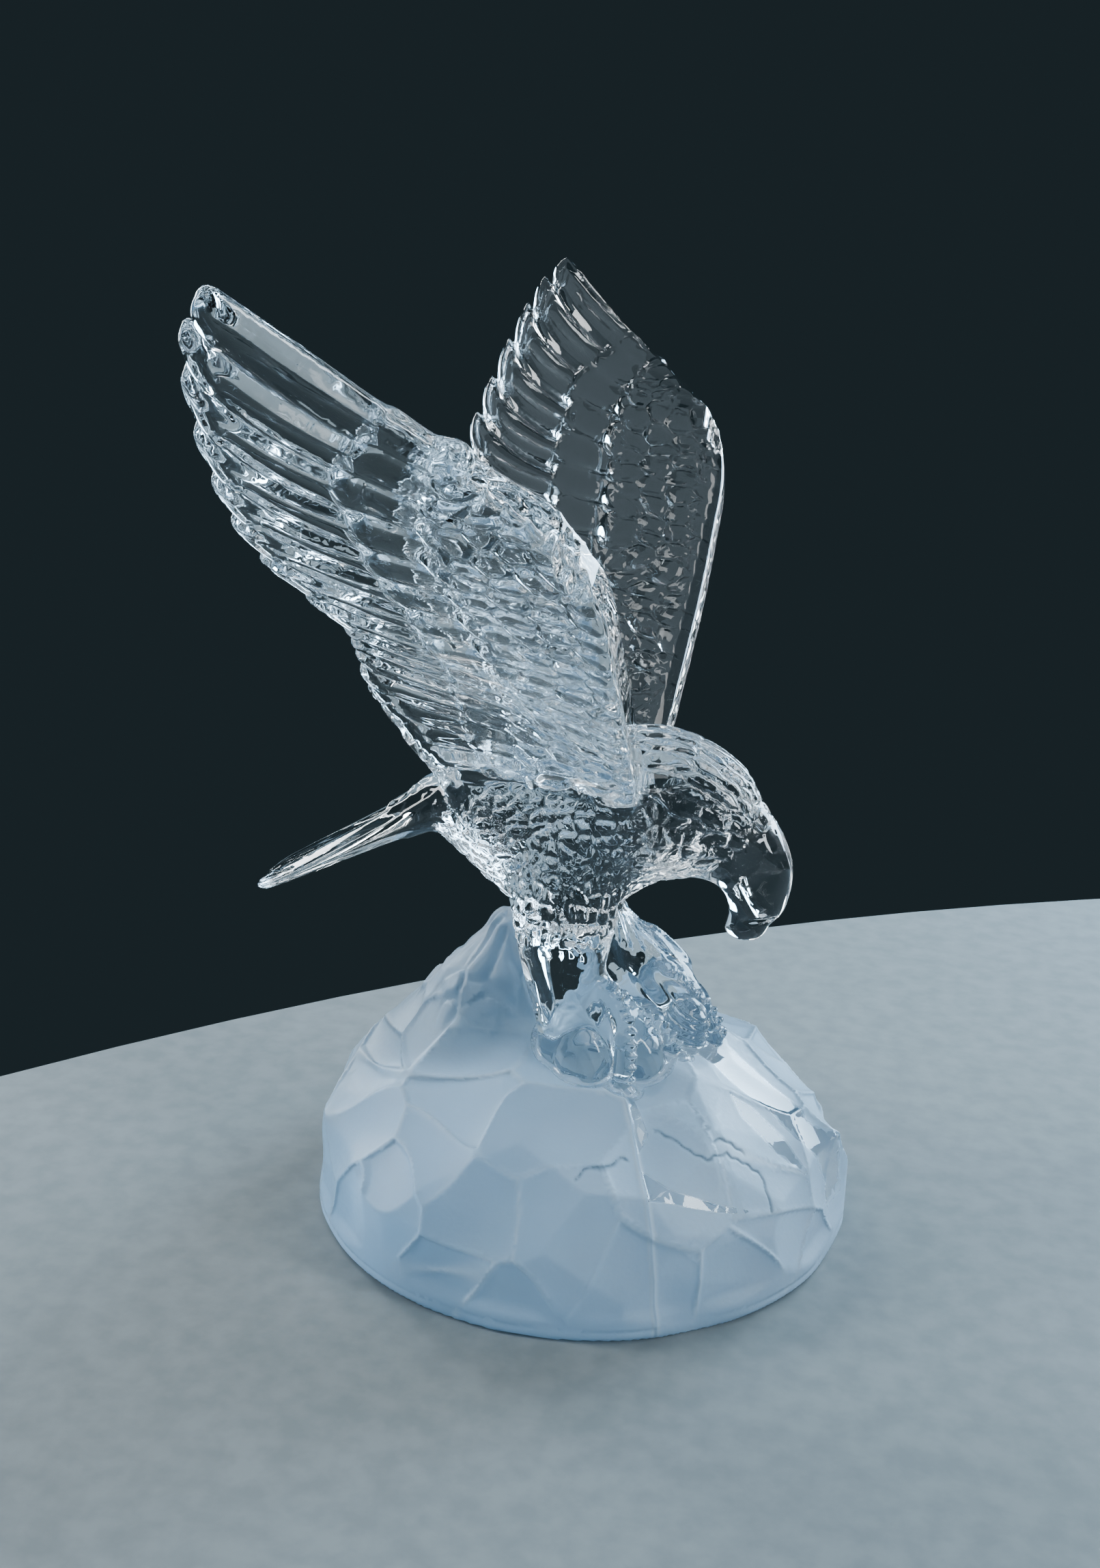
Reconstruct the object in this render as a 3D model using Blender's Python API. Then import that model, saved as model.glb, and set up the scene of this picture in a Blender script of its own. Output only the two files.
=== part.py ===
"""Cast lead-crystal eagle with raised wings, standing on a frosted faceted rock.

The figure is one casting: rock, legs, body, tail, head and both wings are one solid.
Frame: origin at the centre of the flat underside, +X the way the eagle faces, +Y its left wing, +Z up.
Every proportion below is given in base radii; BASE_RADIUS turns them into metres.
"""

import math
import random

import bmesh
import bpy
from mathutils import Vector

# ---------------------------------------------------------------- driving sizes
BASE_RADIUS = 0.058  # metres: the round foot is 116 mm across

# rock: foot band, crest height, bulge of the dome profile
FOOT_BAND = 0.040
ROCK_TOP = 0.74
ROCK_BULGE = 3.0
ROCK_ROUND = 0.775
ROCK_LEAN = -0.05  # the crest sits a little behind the centre
FACET_ROWS = ((0.13, 21), (0.27, 18), (0.41, 15), (0.53, 11), (0.64, 7), (0.715, 3))  # height, facets round

# rear spur of the rock: height, centre x, half length, half width
SPUR = (
    (0.40, -0.36, 0.56, 0.52),
    (0.58, -0.36, 0.44, 0.40),
    (0.74, -0.36, 0.31, 0.30),
    (0.90, -0.335, 0.225, 0.21),
    (1.02, -0.27, 0.13, 0.14),
)

# body and head stations along x: x, middle height, half height, half width
BODY = (
    (-0.62, 1.515, 0.085, 0.100),
    (-0.50, 1.500, 0.150, 0.170),
    (-0.34, 1.462, 0.240, 0.255),
    (-0.14, 1.425, 0.325, 0.310),
    (0.06, 1.470, 0.305, 0.300),
    (0.22, 1.545, 0.270, 0.245),
    (0.36, 1.560, 0.245, 0.205),
    (0.47, 1.530, 0.215, 0.185),
    (0.56, 1.485, 0.165, 0.155),
    (0.63, 1.455, 0.110, 0.115),
)
# beak stations downwards: z, middle x, half length, half width
BEAK = (
    (1.500, 0.545, 0.135, 0.125),
    (1.420, 0.565, 0.140, 0.112),
    (1.340, 0.590, 0.125, 0.092),
    (1.270, 0.597, 0.113, 0.074),
    (1.210, 0.592, 0.100, 0.062),
    (1.165, 0.566, 0.080, 0.052),
    (1.125, 0.556, 0.064, 0.042),
    (1.103, 0.552, 0.036, 0.024),
)

# tail fan: share of its length, half width, half thickness; it runs straight from TAIL_ROOT to TAIL_TIP
TAIL_ROOT = (-0.36, 1.625)
TAIL_TIP = (-1.275, 1.115)
TAIL = (
    (0.00, 0.150, 0.120),
    (0.18, 0.140, 0.095),
    (0.40, 0.140, 0.066),
    (0.65, 0.165, 0.046),
    (0.84, 0.180, 0.034),
    (0.94, 0.150, 0.027),
    (1.00, 0.075, 0.016),
)

# legs: x, y, z, half length, half width (near leg; the far one mirrors it and steps forward)
LEG = (
    (-0.060, 0.150, 1.480, 0.230, 0.130),
    (-0.055, 0.200, 1.290, 0.205, 0.140),
    (-0.062, 0.225, 1.100, 0.165, 0.130),
    (-0.050, 0.245, 0.950, 0.140, 0.112),
    (-0.020, 0.255, 0.820, 0.130, 0.100),
    (0.000, 0.255, 0.640, 0.130, 0.100),
)
# shank and toes: along the foot x, y, z, half width, half height
FOOT = (
    (-0.060, 0.235, 1.060, 0.085, 0.110),
    (0.060, 0.240, 0.900, 0.095, 0.110),
    (0.160, 0.240, 0.790, 0.110, 0.110),
    (0.235, 0.235, 0.700, 0.115, 0.095),
    (0.290, 0.230, 0.600, 0.110, 0.080),
)
TOE_REACH = (0.190, 0.220, 0.270)  # how far each front toe reaches from the ankle, outer toe first
TOE_TURN = (48.0, 12.0, -28.0)  # degrees away from straight ahead, outwards
TOE_RADIUS = 0.050
OUTER_PAD = (0.050, 0.320, 0.700, 0.100, 0.090, 0.130)  # round pad outside each foot: x, y, z and half sizes
INNER_PAD = (0.360, 0.030, 0.700, 0.085, 0.085, 0.125)  # round pad on the inner side of the far foot
FAR_STEP = (0.115, 0.030)  # the far foot stands this much further forward, and this much nearer the middle

# wings: every second feather boundary from the leading edge (tip) to the body
WING_RISE = 44.0  # degrees above the horizontal
TIP_X = (-0.565, -0.700, -0.770, -0.775, -0.675, -0.715, -0.735, -0.660, -0.450)
TIP_U = (3.760, 3.480, 3.050, 2.620, 2.140, 1.840, 1.590, 1.420, 1.130)
COVERT_X = (-0.240, -0.420, -0.440, -0.400, -0.370, -0.395, -0.400, -0.385, -0.300)
COVERT_U = (3.375, 3.120, 2.740, 2.400, 2.020, 1.760, 1.550, 1.380, 1.100)
EDGE_X = (0.140, 0.200, 0.240, 0.240, 0.235, 0.225, 0.215, 0.205, 0.150)
EDGE_U = (2.990, 2.860, 2.660, 2.420, 2.120, 1.860, 1.650, 1.480, 1.120)
FEATHERS = 15  # lobes along the trailing edge: nine long ones, then the short ones
LOBE_LONG = 0.038  # how far a long feather's round end stands out past its notches
LOBE_SHORT = 0.020
# half thickness from the leading edge (0) to the feather ends (1)
WING_THICK = (
    (0.00, 0.030),
    (0.035, 0.062),
    (0.11, 0.078),
    (0.28, 0.064),
    (0.33, 0.052),
    (0.50, 0.048),
    (0.54, 0.037),
    (0.80, 0.035),
    (0.94, 0.031),
    (1.00, 0.018),
)
GROOVE = 0.72  # share of the thickness left in the groove between two feathers


# ---------------------------------------------------------------- helpers
def clear_scene():
    for old in list(bpy.data.objects):
        bpy.data.objects.remove(old, do_unlink=True)


def new_object(name, verts, faces):
    """A closed mesh in metres from points in base radii, with its faces turned outwards."""
    mesh = bpy.data.meshes.new(name)
    mesh.from_pydata([Vector(v) * BASE_RADIUS for v in verts], [], faces)
    work = bmesh.new()
    work.from_mesh(mesh)
    bmesh.ops.recalc_face_normals(work, faces=work.faces)
    bmesh.ops.triangulate(work, faces=work.faces)
    if work.calc_volume(signed=True) < 0:
        bmesh.ops.reverse_faces(work, faces=work.faces)
    work.to_mesh(mesh)
    work.free()
    obj = bpy.data.objects.new(name, mesh)
    bpy.context.scene.collection.objects.link(obj)
    return obj


def loft(name, rings):
    """A skin through rings of equal count, closed with a cap at each end."""
    count = len(rings[0])
    verts = [point for ring in rings for point in ring]
    faces = []
    for i in range(len(rings) - 1):
        a, b = i * count, (i + 1) * count
        for j in range(count):
            k = (j + 1) % count
            faces.append((a + j, a + k, b + k, b + j))
    faces.append(tuple(range(count))[::-1])
    faces.append(tuple(range((len(rings) - 1) * count, len(rings) * count)))
    return new_object(name, verts, faces)


def ellipse(centre, across, up, count, square=1.0):
    """A ring about centre; across and up are its two half axes as vectors."""
    ring = []
    for j in range(count):
        angle = 2 * math.pi * (j + 0.5) / count
        c, s = math.cos(angle), math.sin(angle)
        c = math.copysign(abs(c) ** square, c)
        s = math.copysign(abs(s) ** square, s)
        ring.append(Vector(centre) + Vector(across) * c + Vector(up) * s)
    return ring


def spline(keys, place):
    """A smooth value through evenly spaced keys; place runs from 0 to len(keys) - 1."""
    i = min(int(place), len(keys) - 2)
    t = place - i
    b, c = keys[i], keys[i + 1]
    a = keys[i - 1] if i else 2 * b - c
    d = keys[i + 2] if i + 2 < len(keys) else 2 * c - b
    return 0.5 * (2 * b + (c - a) * t + (2 * a - 5 * b + 4 * c - d) * t * t + (3 * b - a - 3 * c + d) * t**3)


def ramp(keys, place):
    """A straight-line value between (place, value) keys."""
    for (p0, v0), (p1, v1) in zip(keys, keys[1:]):
        if place <= p1:
            return v0 + (v1 - v0) * (place - p0) / (p1 - p0)
    return keys[-1][1]


# ---------------------------------------------------------------- the rock
def dome_radius(z):
    share = min(max((z - FOOT_BAND) / (ROCK_TOP - FOOT_BAND), 0.0), 1.0)
    return max(1.0 - share**ROCK_BULGE, 0.0) ** ROCK_ROUND


def facet_planes():
    """A flat cut for every facet: it touches the smooth dome at one point of its row."""
    draw = random.Random(11)
    planes = []
    for height, count in FACET_ROWS:
        turn = draw.uniform(0, 2 * math.pi)
        for j in range(count):
            z = height + draw.uniform(-0.045, 0.045)
            z = min(max(z, 0.09), ROCK_TOP - 0.012)
            angle = turn + 2 * math.pi * (j + draw.uniform(-0.28, 0.28)) / count
            r = dome_radius(z)
            slope = (dome_radius(z + 0.004) - dome_radius(z - 0.004)) / 0.008
            normal = Vector((math.cos(angle), math.sin(angle), -slope)).normalized()
            lean = ROCK_LEAN * z / ROCK_TOP
            planes.append((Vector((r * math.cos(angle) + lean, r * math.sin(angle), z)), normal))
    planes.append((Vector((ROCK_LEAN, 0, ROCK_TOP)), Vector((0, 0, 1))))
    return planes


def make_rock():
    count = 72
    rings = []
    for z, r in ((0.0, 0.985), (0.012, 1.0), (FOOT_BAND, 1.0), (FOOT_BAND + 0.01, 1.006), (1.2, 1.006)):
        rings.append([Vector((r * math.cos(2 * math.pi * j / count), r * math.sin(2 * math.pi * j / count), z)) for j in range(count)])
    rock = loft("rock", rings)
    work = bmesh.new()
    work.from_mesh(rock.data)
    for point, normal in facet_planes():
        cut = bmesh.ops.bisect_plane(
            work,
            geom=work.verts[:] + work.edges[:] + work.faces[:],
            dist=1e-7,
            plane_co=point * BASE_RADIUS,
            plane_no=normal,
            clear_outer=True,
        )
        edges = [e for e in cut["geom_cut"] if isinstance(e, bmesh.types.BMEdge)]
        if edges:
            bmesh.ops.edgeloop_fill(work, edges=edges)
    bmesh.ops.dissolve_limit(work, angle_limit=0.002, verts=work.verts, edges=work.edges)
    bmesh.ops.remove_doubles(work, verts=work.verts, dist=2e-5)
    bmesh.ops.recalc_face_normals(work, faces=work.faces)
    bmesh.ops.triangulate(work, faces=work.faces)
    work.to_mesh(rock.data)
    work.free()
    return rock


def make_spur():
    """The chipped ridge that climbs behind the legs to the rump."""
    draw = random.Random(5)
    work = bmesh.new()
    sides = 11
    for row, (z, x, half_long, half_wide) in enumerate(SPUR):
        for j in range(sides):
            angle = 2 * math.pi * (j + 0.5 * (row % 2) + draw.uniform(-0.2, 0.2)) / sides
            grow = 1 + draw.uniform(-0.05, 0.05)
            place = (x + half_long * grow * math.cos(angle), half_wide * grow * math.sin(angle), z + draw.uniform(-0.02, 0.02))
            work.verts.new(Vector(place) * BASE_RADIUS)
    hull = bmesh.ops.convex_hull(work, input=work.verts)
    inside = [g for g in hull["geom_interior"] + hull["geom_unused"] if isinstance(g, bmesh.types.BMVert)]
    bmesh.ops.delete(work, geom=list(set(inside)), context="VERTS")
    bmesh.ops.recalc_face_normals(work, faces=work.faces)
    mesh = bpy.data.meshes.new("spur")
    work.to_mesh(mesh)
    work.free()
    spur = bpy.data.objects.new("spur", mesh)
    bpy.context.scene.collection.objects.link(spur)
    return spur


# ---------------------------------------------------------------- body, head, tail, legs
def make_body():
    count = 20
    first, last = BODY[0], BODY[-1]
    rings = [ellipse((first[0] - 0.05, 0, first[1]), (0, 0.5 * first[3], 0), (0, 0, 0.5 * first[2]), count)]
    rings += [ellipse((x, 0, z), (0, wide, 0), (0, 0, high), count) for x, z, high, wide in BODY]
    rings.append(ellipse((last[0] + 0.035, 0, last[1] - 0.01), (0, 0.5 * last[3], 0), (0, 0, 0.5 * last[2]), count))
    return loft("body", rings)


def make_beak():
    return loft("beak", [ellipse((x, 0, z), (long, 0, 0), (0, wide, 0), 16) for z, x, long, wide in BEAK])


def make_tail():
    root, tip = Vector((TAIL_ROOT[0], 0, TAIL_ROOT[1])), Vector((TAIL_TIP[0], 0, TAIL_TIP[1]))
    run = (tip - root).normalized()
    up = Vector((-run.z, 0, run.x)) * -1
    rings = []
    for share, wide, thick in TAIL:
        rings.append(ellipse(root.lerp(tip, share), Vector((0, wide, 0)), up * thick, 16, 0.85))
    return loft("tail", rings)


def foot_place(side, x, y, z):
    """A point of the near foot (side -1) or the far one (side +1)."""
    step, inward = FAR_STEP if side > 0 else (0.0, 0.0)
    fall = min(max((1.20 - z) / 0.35, 0.0), 1.0)
    return Vector((x + step * fall, side * (y - inward * fall), z))


def make_leg(side):
    rings = []
    for x, y, z, long, wide in LEG:
        rings.append(ellipse(foot_place(side, x, y, z) - Vector((0.5 * FAR_STEP[0] if side > 0 and z < 1.2 else 0, 0, 0)), (long, 0, 0), (0, wide, 0), 14))
    return loft("leg", rings)


def make_shank(side):
    rings = []
    places = [foot_place(side, x, y, z) for x, y, z, _, _ in FOOT]
    for i, (_, _, _, wide, high) in enumerate(FOOT):
        run = (places[min(i + 1, len(places) - 1)] - places[max(i - 1, 0)]).normalized()
        across = Vector((0, 1, 0))
        up = run.cross(across).normalized()
        rings.append(ellipse(places[i], across * wide, up * high, 12, 0.8))
    return loft("shank", rings)


def make_toe(side, turn, reach):
    start = foot_place(side, 0.13, 0.24, 0.87)
    angle = math.radians(turn) * side
    ahead = Vector((math.cos(angle), math.sin(angle), 0))
    rings = []
    for share, drop, size in ((0.0, 0.0, 1.15), (0.35, 0.07, 1.1), (0.68, 0.165, 1.0), (0.90, 0.250, 0.8), (1.0, 0.300, 0.45)):
        centre = start + ahead * (reach * share * 0.86) - Vector((0, 0, drop))
        slope = Vector((ahead.x * 0.7, ahead.y * 0.7, -0.7))
        across = slope.cross(Vector((0, 0, 1))).normalized()
        up = across.cross(slope).normalized()
        rings.append(ellipse(centre, across * TOE_RADIUS * size, up * TOE_RADIUS * 1.25 * size, 8))
    return loft("toe", rings)


def make_pad(centre, a, b, c):
    rings = []
    for i in range(1, 8):
        polar = math.pi * i / 8
        rings.append(ellipse(centre + Vector((0, 0, c * math.cos(polar))), (a * math.sin(polar), 0, 0), (0, b * math.sin(polar), 0), 12))
    return loft("pad", rings)


# ---------------------------------------------------------------- wings
def wing_offset(x, u):
    """How far the wing's middle lies above its inclined plane: a slight twist, drawn in to the body at the root."""
    root = max(1.9 - u, 0.0)
    return 1.574 - 0.586 * x - 0.418 * u - 0.043 * x * x + 0.165 * x * u + 0.0755 * u * u - 0.83 * root * root * (0.25 - x)


def wing_point(side, x, u, offset):
    rise = math.radians(WING_RISE)
    n = wing_offset(x, u) + offset
    return Vector((x, side * (u * math.cos(rise) - n * math.sin(rise)), u * math.sin(rise) + n * math.cos(rise)))


def wing_column(place):
    """The feather line at a boundary number: from the leading edge, through the covert row, to the feather's end."""
    key = 0.5 * place
    tip = Vector((spline(TIP_X, key), spline(TIP_U, key)))
    covert = Vector((spline(COVERT_X, key), spline(COVERT_U, key)))
    edge = Vector((spline(EDGE_X, key), spline(EDGE_U, key)))
    return edge, covert, tip


def make_wing(side):
    steps = 4  # columns per feather
    columns = FEATHERS * steps + 3
    rows = [key for key, _ in WING_THICK]
    top, bottom = [], []
    for i in range(columns):
        place = i / steps
        if i > FEATHERS * steps:  # the last columns run into the body
            place = FEATHERS + (i - FEATHERS * steps) / 2
        inside = place > FEATHERS
        edge, covert, tip = wing_column(place)
        across = 0.0 if inside else abs(2 * (place - math.floor(place)) - 1)  # 1 in a groove, 0 on a feather's middle
        lobe = LOBE_LONG if place < 8.2 else LOBE_SHORT
        run = (tip - covert).normalized()
        tip = tip + run * lobe * (math.sqrt(max(1 - across * across, 0)) if not inside else 0)
        bend = 2 * covert - 0.5 * (edge + tip)
        relief = 1.0 if inside else 1 - (1 - GROOVE) * across**2
        rim = min(1.0, 0.42 + 0.58 * place / 0.6)  # the outer edge of the first feather is thin
        for row in rows:
            spot = edge * (1 - row) ** 2 + bend * (2 * row * (1 - row)) + tip * row**2
            thick = ramp(WING_THICK, row) * rim
            if row > 0.3:
                thick *= relief
            top.append(wing_point(side, spot.x, spot.y, thick))
            bottom.append(wing_point(side, spot.x, spot.y, -thick))
    verts = top + bottom
    n, m, shift = len(rows), columns, len(top)
    faces = []
    for i in range(m - 1):
        for j in range(n - 1):
            a, b, c, d = i * n + j, (i + 1) * n + j, (i + 1) * n + j + 1, i * n + j + 1
            faces.append((a, b, c, d))
            faces.append((shift + d, shift + c, shift + b, shift + a))
    border = [i * n for i in range(m)] + [(m - 1) * n + j for j in range(1, n)]
    border += [i * n + n - 1 for i in range(m - 2, -1, -1)] + [j for j in range(n - 2, 0, -1)]
    for a, b in zip(border, border[1:] + border[:1]):
        faces.append((a, shift + a, shift + b, b))
    return new_object("wing", verts, faces)


# ---------------------------------------------------------------- one casting
def crystal():
    material = bpy.data.materials.new("lead_crystal")
    material.use_nodes = True
    shader = material.node_tree.nodes["Principled BSDF"]
    shader.inputs["Base Color"].default_value = (0.93, 0.965, 1.0, 1.0)
    shader.inputs["Roughness"].default_value = 0.03
    shader.inputs["Metallic"].default_value = 0.0
    shader.inputs["IOR"].default_value = 1.55
    shader.inputs["Transmission Weight"].default_value = 1.0
    return material


def join(base, others):
    """Unions every other shape into the base, one after another."""
    bpy.context.view_layer.objects.active = base
    for other in others:
        cut = base.modifiers.new("join", "BOOLEAN")
        cut.operation = "UNION"
        cut.solver = "EXACT"
        cut.object = other
        bpy.context.view_layer.update()
        graph = bpy.context.evaluated_depsgraph_get()
        mesh = bpy.data.meshes.new_from_object(base.evaluated_get(graph))
        base.modifiers.clear()
        base.data = mesh
        bpy.data.objects.remove(other, do_unlink=True)


def tidy(obj):
    work = bmesh.new()
    work.from_mesh(obj.data)
    bmesh.ops.remove_doubles(work, verts=work.verts, dist=3e-6)
    bmesh.ops.dissolve_degenerate(work, edges=work.edges, dist=3e-6)
    bmesh.ops.triangulate(work, faces=work.faces)
    bmesh.ops.recalc_face_normals(work, faces=work.faces)
    work.to_mesh(obj.data)
    work.free()


def main():
    clear_scene()
    figure = make_rock()
    shapes = [make_spur(), make_body(), make_beak(), make_tail()]
    for side in (-1, 1):
        shapes += [make_leg(side), make_shank(side), make_pad(foot_place(side, *OUTER_PAD[:3]), *OUTER_PAD[3:])]
        shapes += [make_toe(side, turn, reach) for turn, reach in zip(TOE_TURN, TOE_REACH)]
        shapes.append(make_wing(side))
    shapes.append(make_pad(Vector(INNER_PAD[:3]), *INNER_PAD[3:]))
    join(figure, shapes)
    tidy(figure)
    figure.name = "eagle_figurine"
    figure.data.name = "eagle_figurine"
    figure.data.materials.clear()
    figure.data.materials.append(crystal())
    figure.data.shade_smooth()
    figure.data.set_sharp_from_angle(angle=math.radians(24))


main()
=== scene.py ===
"""Looks of the cast crystal eagle: one closed mesh with all its carved relief, clear above and frosted below.

Proportions are in base radii, in the row frame: +X the way the eagle faces, +Y its left wing, +Z up.
The surface is the zero level of a distance field, so that the glass is one body with no inner walls.
"""

import math
import random

import bmesh
import bpy
import numpy as np
from mathutils import Matrix, Vector


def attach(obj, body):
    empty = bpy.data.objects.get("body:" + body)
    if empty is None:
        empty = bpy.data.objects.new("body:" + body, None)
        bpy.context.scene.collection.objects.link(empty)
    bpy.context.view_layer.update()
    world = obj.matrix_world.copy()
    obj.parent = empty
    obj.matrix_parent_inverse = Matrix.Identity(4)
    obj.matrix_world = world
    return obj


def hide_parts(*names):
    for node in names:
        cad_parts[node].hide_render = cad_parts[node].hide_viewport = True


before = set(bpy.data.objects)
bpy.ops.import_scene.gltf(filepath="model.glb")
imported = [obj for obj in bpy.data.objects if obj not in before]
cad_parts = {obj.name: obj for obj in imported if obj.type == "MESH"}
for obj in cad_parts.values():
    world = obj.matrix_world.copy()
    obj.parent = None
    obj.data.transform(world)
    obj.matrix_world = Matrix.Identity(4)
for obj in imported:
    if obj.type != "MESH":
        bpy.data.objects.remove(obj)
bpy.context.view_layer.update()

R = 0.058  # metres in one base radius
VOXEL = 0.00068 / R
MOST_TRIANGLES = 172000
FAR = 9.0


# ---------------------------------------------------------------- the camera, at the photograph's viewing angle
def make_camera():
    pitch, roll, yaw, turn = 0.313917, 0.0331596, -0.0287432, 0.1799616
    height, away = 3.548376, 5.945916
    ahead, left = Vector((math.cos(turn), -math.sin(turn), 0)), Vector((math.sin(turn), math.cos(turn), 0))

    def to_row(v):
        return Vector((v.dot(ahead), v.dot(left), v.z))

    look = Vector((math.sin(yaw) * math.cos(pitch), math.cos(yaw) * math.cos(pitch), -math.sin(pitch)))
    right = Vector((math.cos(yaw), -math.sin(yaw), 0))
    up = right.cross(look)
    right, up = right * math.cos(roll) + up * math.sin(roll), up * math.cos(roll) - right * math.sin(roll)
    axes = [to_row(right), to_row(up), -to_row(look)]
    place = to_row(Vector((0, -away, height))) * R
    data = bpy.data.cameras.new("camera")
    data.sensor_width = 36.0
    data.lens = 36.0 * 2561.97 / 2296
    data.clip_start, data.clip_end = 0.01, 20
    camera = bpy.data.objects.new("camera", data)
    matrix = Matrix.Identity(4)
    for column, axis in enumerate(axes):
        for row in range(3):
            matrix[row][column] = axis[row]
    matrix.translation = place
    camera.matrix_world = matrix
    bpy.context.scene.collection.objects.link(camera)
    bpy.context.scene.camera = camera
    return camera


# ---------------------------------------------------------------- small tools for fields
def smin(a, b, k):
    h = np.clip(0.5 + 0.5 * (b - a) / k, 0.0, 1.0)
    return b + (a - b) * h - k * h * (1.0 - h)


def smax(a, b, k):
    return -smin(-a, -b, k)


def step(low, high, x):
    t = np.clip((x - low) / (high - low), 0.0, 1.0)
    return t * t * (3 - 2 * t)


def table(keys, count=600):
    """A smooth curve through (place, value, value, ...) keys, sampled once."""
    keys = np.array(keys, float)
    x, v = keys[:, 0], keys[:, 1:]
    slope = np.gradient(v, x, axis=0)
    grid = np.linspace(x[0], x[-1], count)
    i = np.clip(np.searchsorted(x, grid, "right") - 1, 0, len(x) - 2)
    h = (x[i + 1] - x[i])[:, None]
    t = ((grid - x[i]) / (x[i + 1] - x[i]))[:, None]
    out = (2 * t**3 - 3 * t**2 + 1) * v[i] + (t**3 - 2 * t**2 + t) * h * slope[i]
    out += (3 * t**2 - 2 * t**3) * v[i + 1] + (t**3 - t**2) * h * slope[i + 1]
    return grid, out


def at(tab, place):
    return [np.interp(place, tab[0], tab[1][:, i]) for i in range(tab[1].shape[1])]


def ring_distance(qa, qb, a, b):
    """About how far a point is outside an ellipse with half sizes a and b; qa and qb are its offsets over them."""
    rad = np.sqrt(qa * qa + qb * qb) + 1e-9
    return (rad - 1) * rad / np.sqrt((qa / a) ** 2 + (qb / b) ** 2 + 1e-12)


def ball_distance(p, centre, a, b, c):
    q = (p - np.array(centre)) / np.array([a, b, c])
    rad = np.sqrt((q * q).sum(1)) + 1e-9
    return (rad - 1) * rad / np.sqrt(((q / np.array([a, b, c])) ** 2).sum(1) + 1e-12)


def rod_distance(p, points, radii, k=0.0):
    """A chain of straight rods with a radius at each point; also how far along the chain the nearest place is."""
    best, along, run = np.full(len(p), FAR), np.zeros(len(p)), 0.0
    for a, b, ra, rb in zip(points, points[1:], radii, radii[1:]):
        a, b = np.array(a, float), np.array(b, float)
        d = b - a
        length = math.sqrt((d * d).sum())
        t = np.clip((p - a) @ d / (length * length), 0, 1)
        off = p - a - t[:, None] * d
        dist = np.sqrt((off * off).sum(1)) - (ra + (rb - ra) * t)
        along = np.where(dist < best, run + t * length, along)
        best = smin(best, dist, k) if k else np.minimum(best, dist)
        run += length
    return best, along


def wave(p, seed, size):
    """A soft field from -1 to 1 that wanders over about this size."""
    draw = random.Random(seed)
    out = np.zeros(len(p))
    for _ in range(5):
        v = np.array([draw.gauss(0, 1) for _ in range(3)])
        out += np.sin(p @ (v / np.linalg.norm(v)) * (2 * math.pi / (size * draw.uniform(0.8, 1.5))) + draw.uniform(0, 6.3))
    return out / 2.6


def pillow(c, power=5.0):
    """1 over most of -0.5..0.5, rounding steeply to 0 at its ends."""
    return np.sqrt(np.clip(1 - np.abs(2 * c) ** power, 0, 1))


def chance(*cell):
    """A fixed number from 0 to 1 for each whole-numbered cell."""
    total = sum(c * k for c, k in zip(cell, (12.9898, 78.233, 37.719, 19.19)))
    value = np.sin(total) * 43758.5453
    return value - np.floor(value)


def tiles(a, b, jitter=0.5):
    """Distances to the nearest and second nearest centre of staggered rows of unit tiles, and how far past its centre along a."""
    row = np.floor(a)
    first, second, past = np.full(a.shape, FAR), np.full(a.shape, FAR), np.zeros(a.shape)
    for dr in (-1, 0, 1):
        r = row + dr
        shift = 0.5 * np.mod(r, 2)
        col = np.floor(b - shift)
        for dc in (-1, 0, 1):
            c = col + dc
            ca = r + 0.5 + jitter * 0.6 * (chance(r, c) - 0.5)
            cb = c + 0.5 + shift + jitter * (chance(c, r + 31) - 0.5)
            d = np.sqrt((a - ca) ** 2 + (b - cb) ** 2)
            closer = d < first
            second = np.where(closer, first, np.minimum(second, d))
            past = np.where(closer, a - ca, past)
            first = np.where(closer, d, first)
    return first, second, past


def knobs(p, sizes, seed, groove=0.20):
    """Irregular rounded cells all over a surface: about 0 in the grooves and 1 on the cells."""
    q = p / np.array(sizes) + 0.35 * np.stack([wave(p, seed, 0.3), wave(p, seed + 1, 0.3), wave(p, seed + 2, 0.3)], 1)
    base = np.floor(q)
    first, second = np.full(len(q), FAR), np.full(len(q), FAR)
    for i in (-1, 0, 1):
        for j in (-1, 0, 1):
            for k in (-1, 0, 1):
                x, y, z = base[:, 0] + i, base[:, 1] + j, base[:, 2] + k
                d = (q[:, 0] - x - 0.15 - 0.7 * chance(x, y, z, seed)) ** 2
                d += (q[:, 1] - y - 0.15 - 0.7 * chance(y, z, x, seed)) ** 2
                d += (q[:, 2] - z - 0.15 - 0.7 * chance(z, x, y, seed)) ** 2
                second = np.where(d < first, first, np.minimum(second, d))
                first = np.minimum(first, d)
    first, second = np.sqrt(first), np.sqrt(second)
    return 1 - np.exp(-(((second - first) / groove) ** 2)) - 0.25 * first


class Map:
    """Values on a flat grid, read between its points."""

    def __init__(self, low, high, pitch):
        self.low, self.pitch = low, pitch
        self.a = np.arange(low[0], high[0], pitch)
        self.b = np.arange(low[1], high[1], pitch)
        self.A, self.B = np.meshgrid(self.a, self.b, indexing="ij")

    def read(self, layers, a, b):
        i = np.clip((a - self.low[0]) / self.pitch, 0, len(self.a) - 1.001)
        j = np.clip((b - self.low[1]) / self.pitch, 0, len(self.b) - 1.001)
        i0, j0 = i.astype(np.int32), j.astype(np.int32)
        s, t = i - i0, j - j0
        out = []
        for layer in layers:
            v = layer[i0, j0] * (1 - s) * (1 - t) + layer[i0 + 1, j0] * s * (1 - t)
            out.append(v + layer[i0, j0 + 1] * (1 - s) * t + layer[i0 + 1, j0 + 1] * s * t)
        return out


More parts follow.
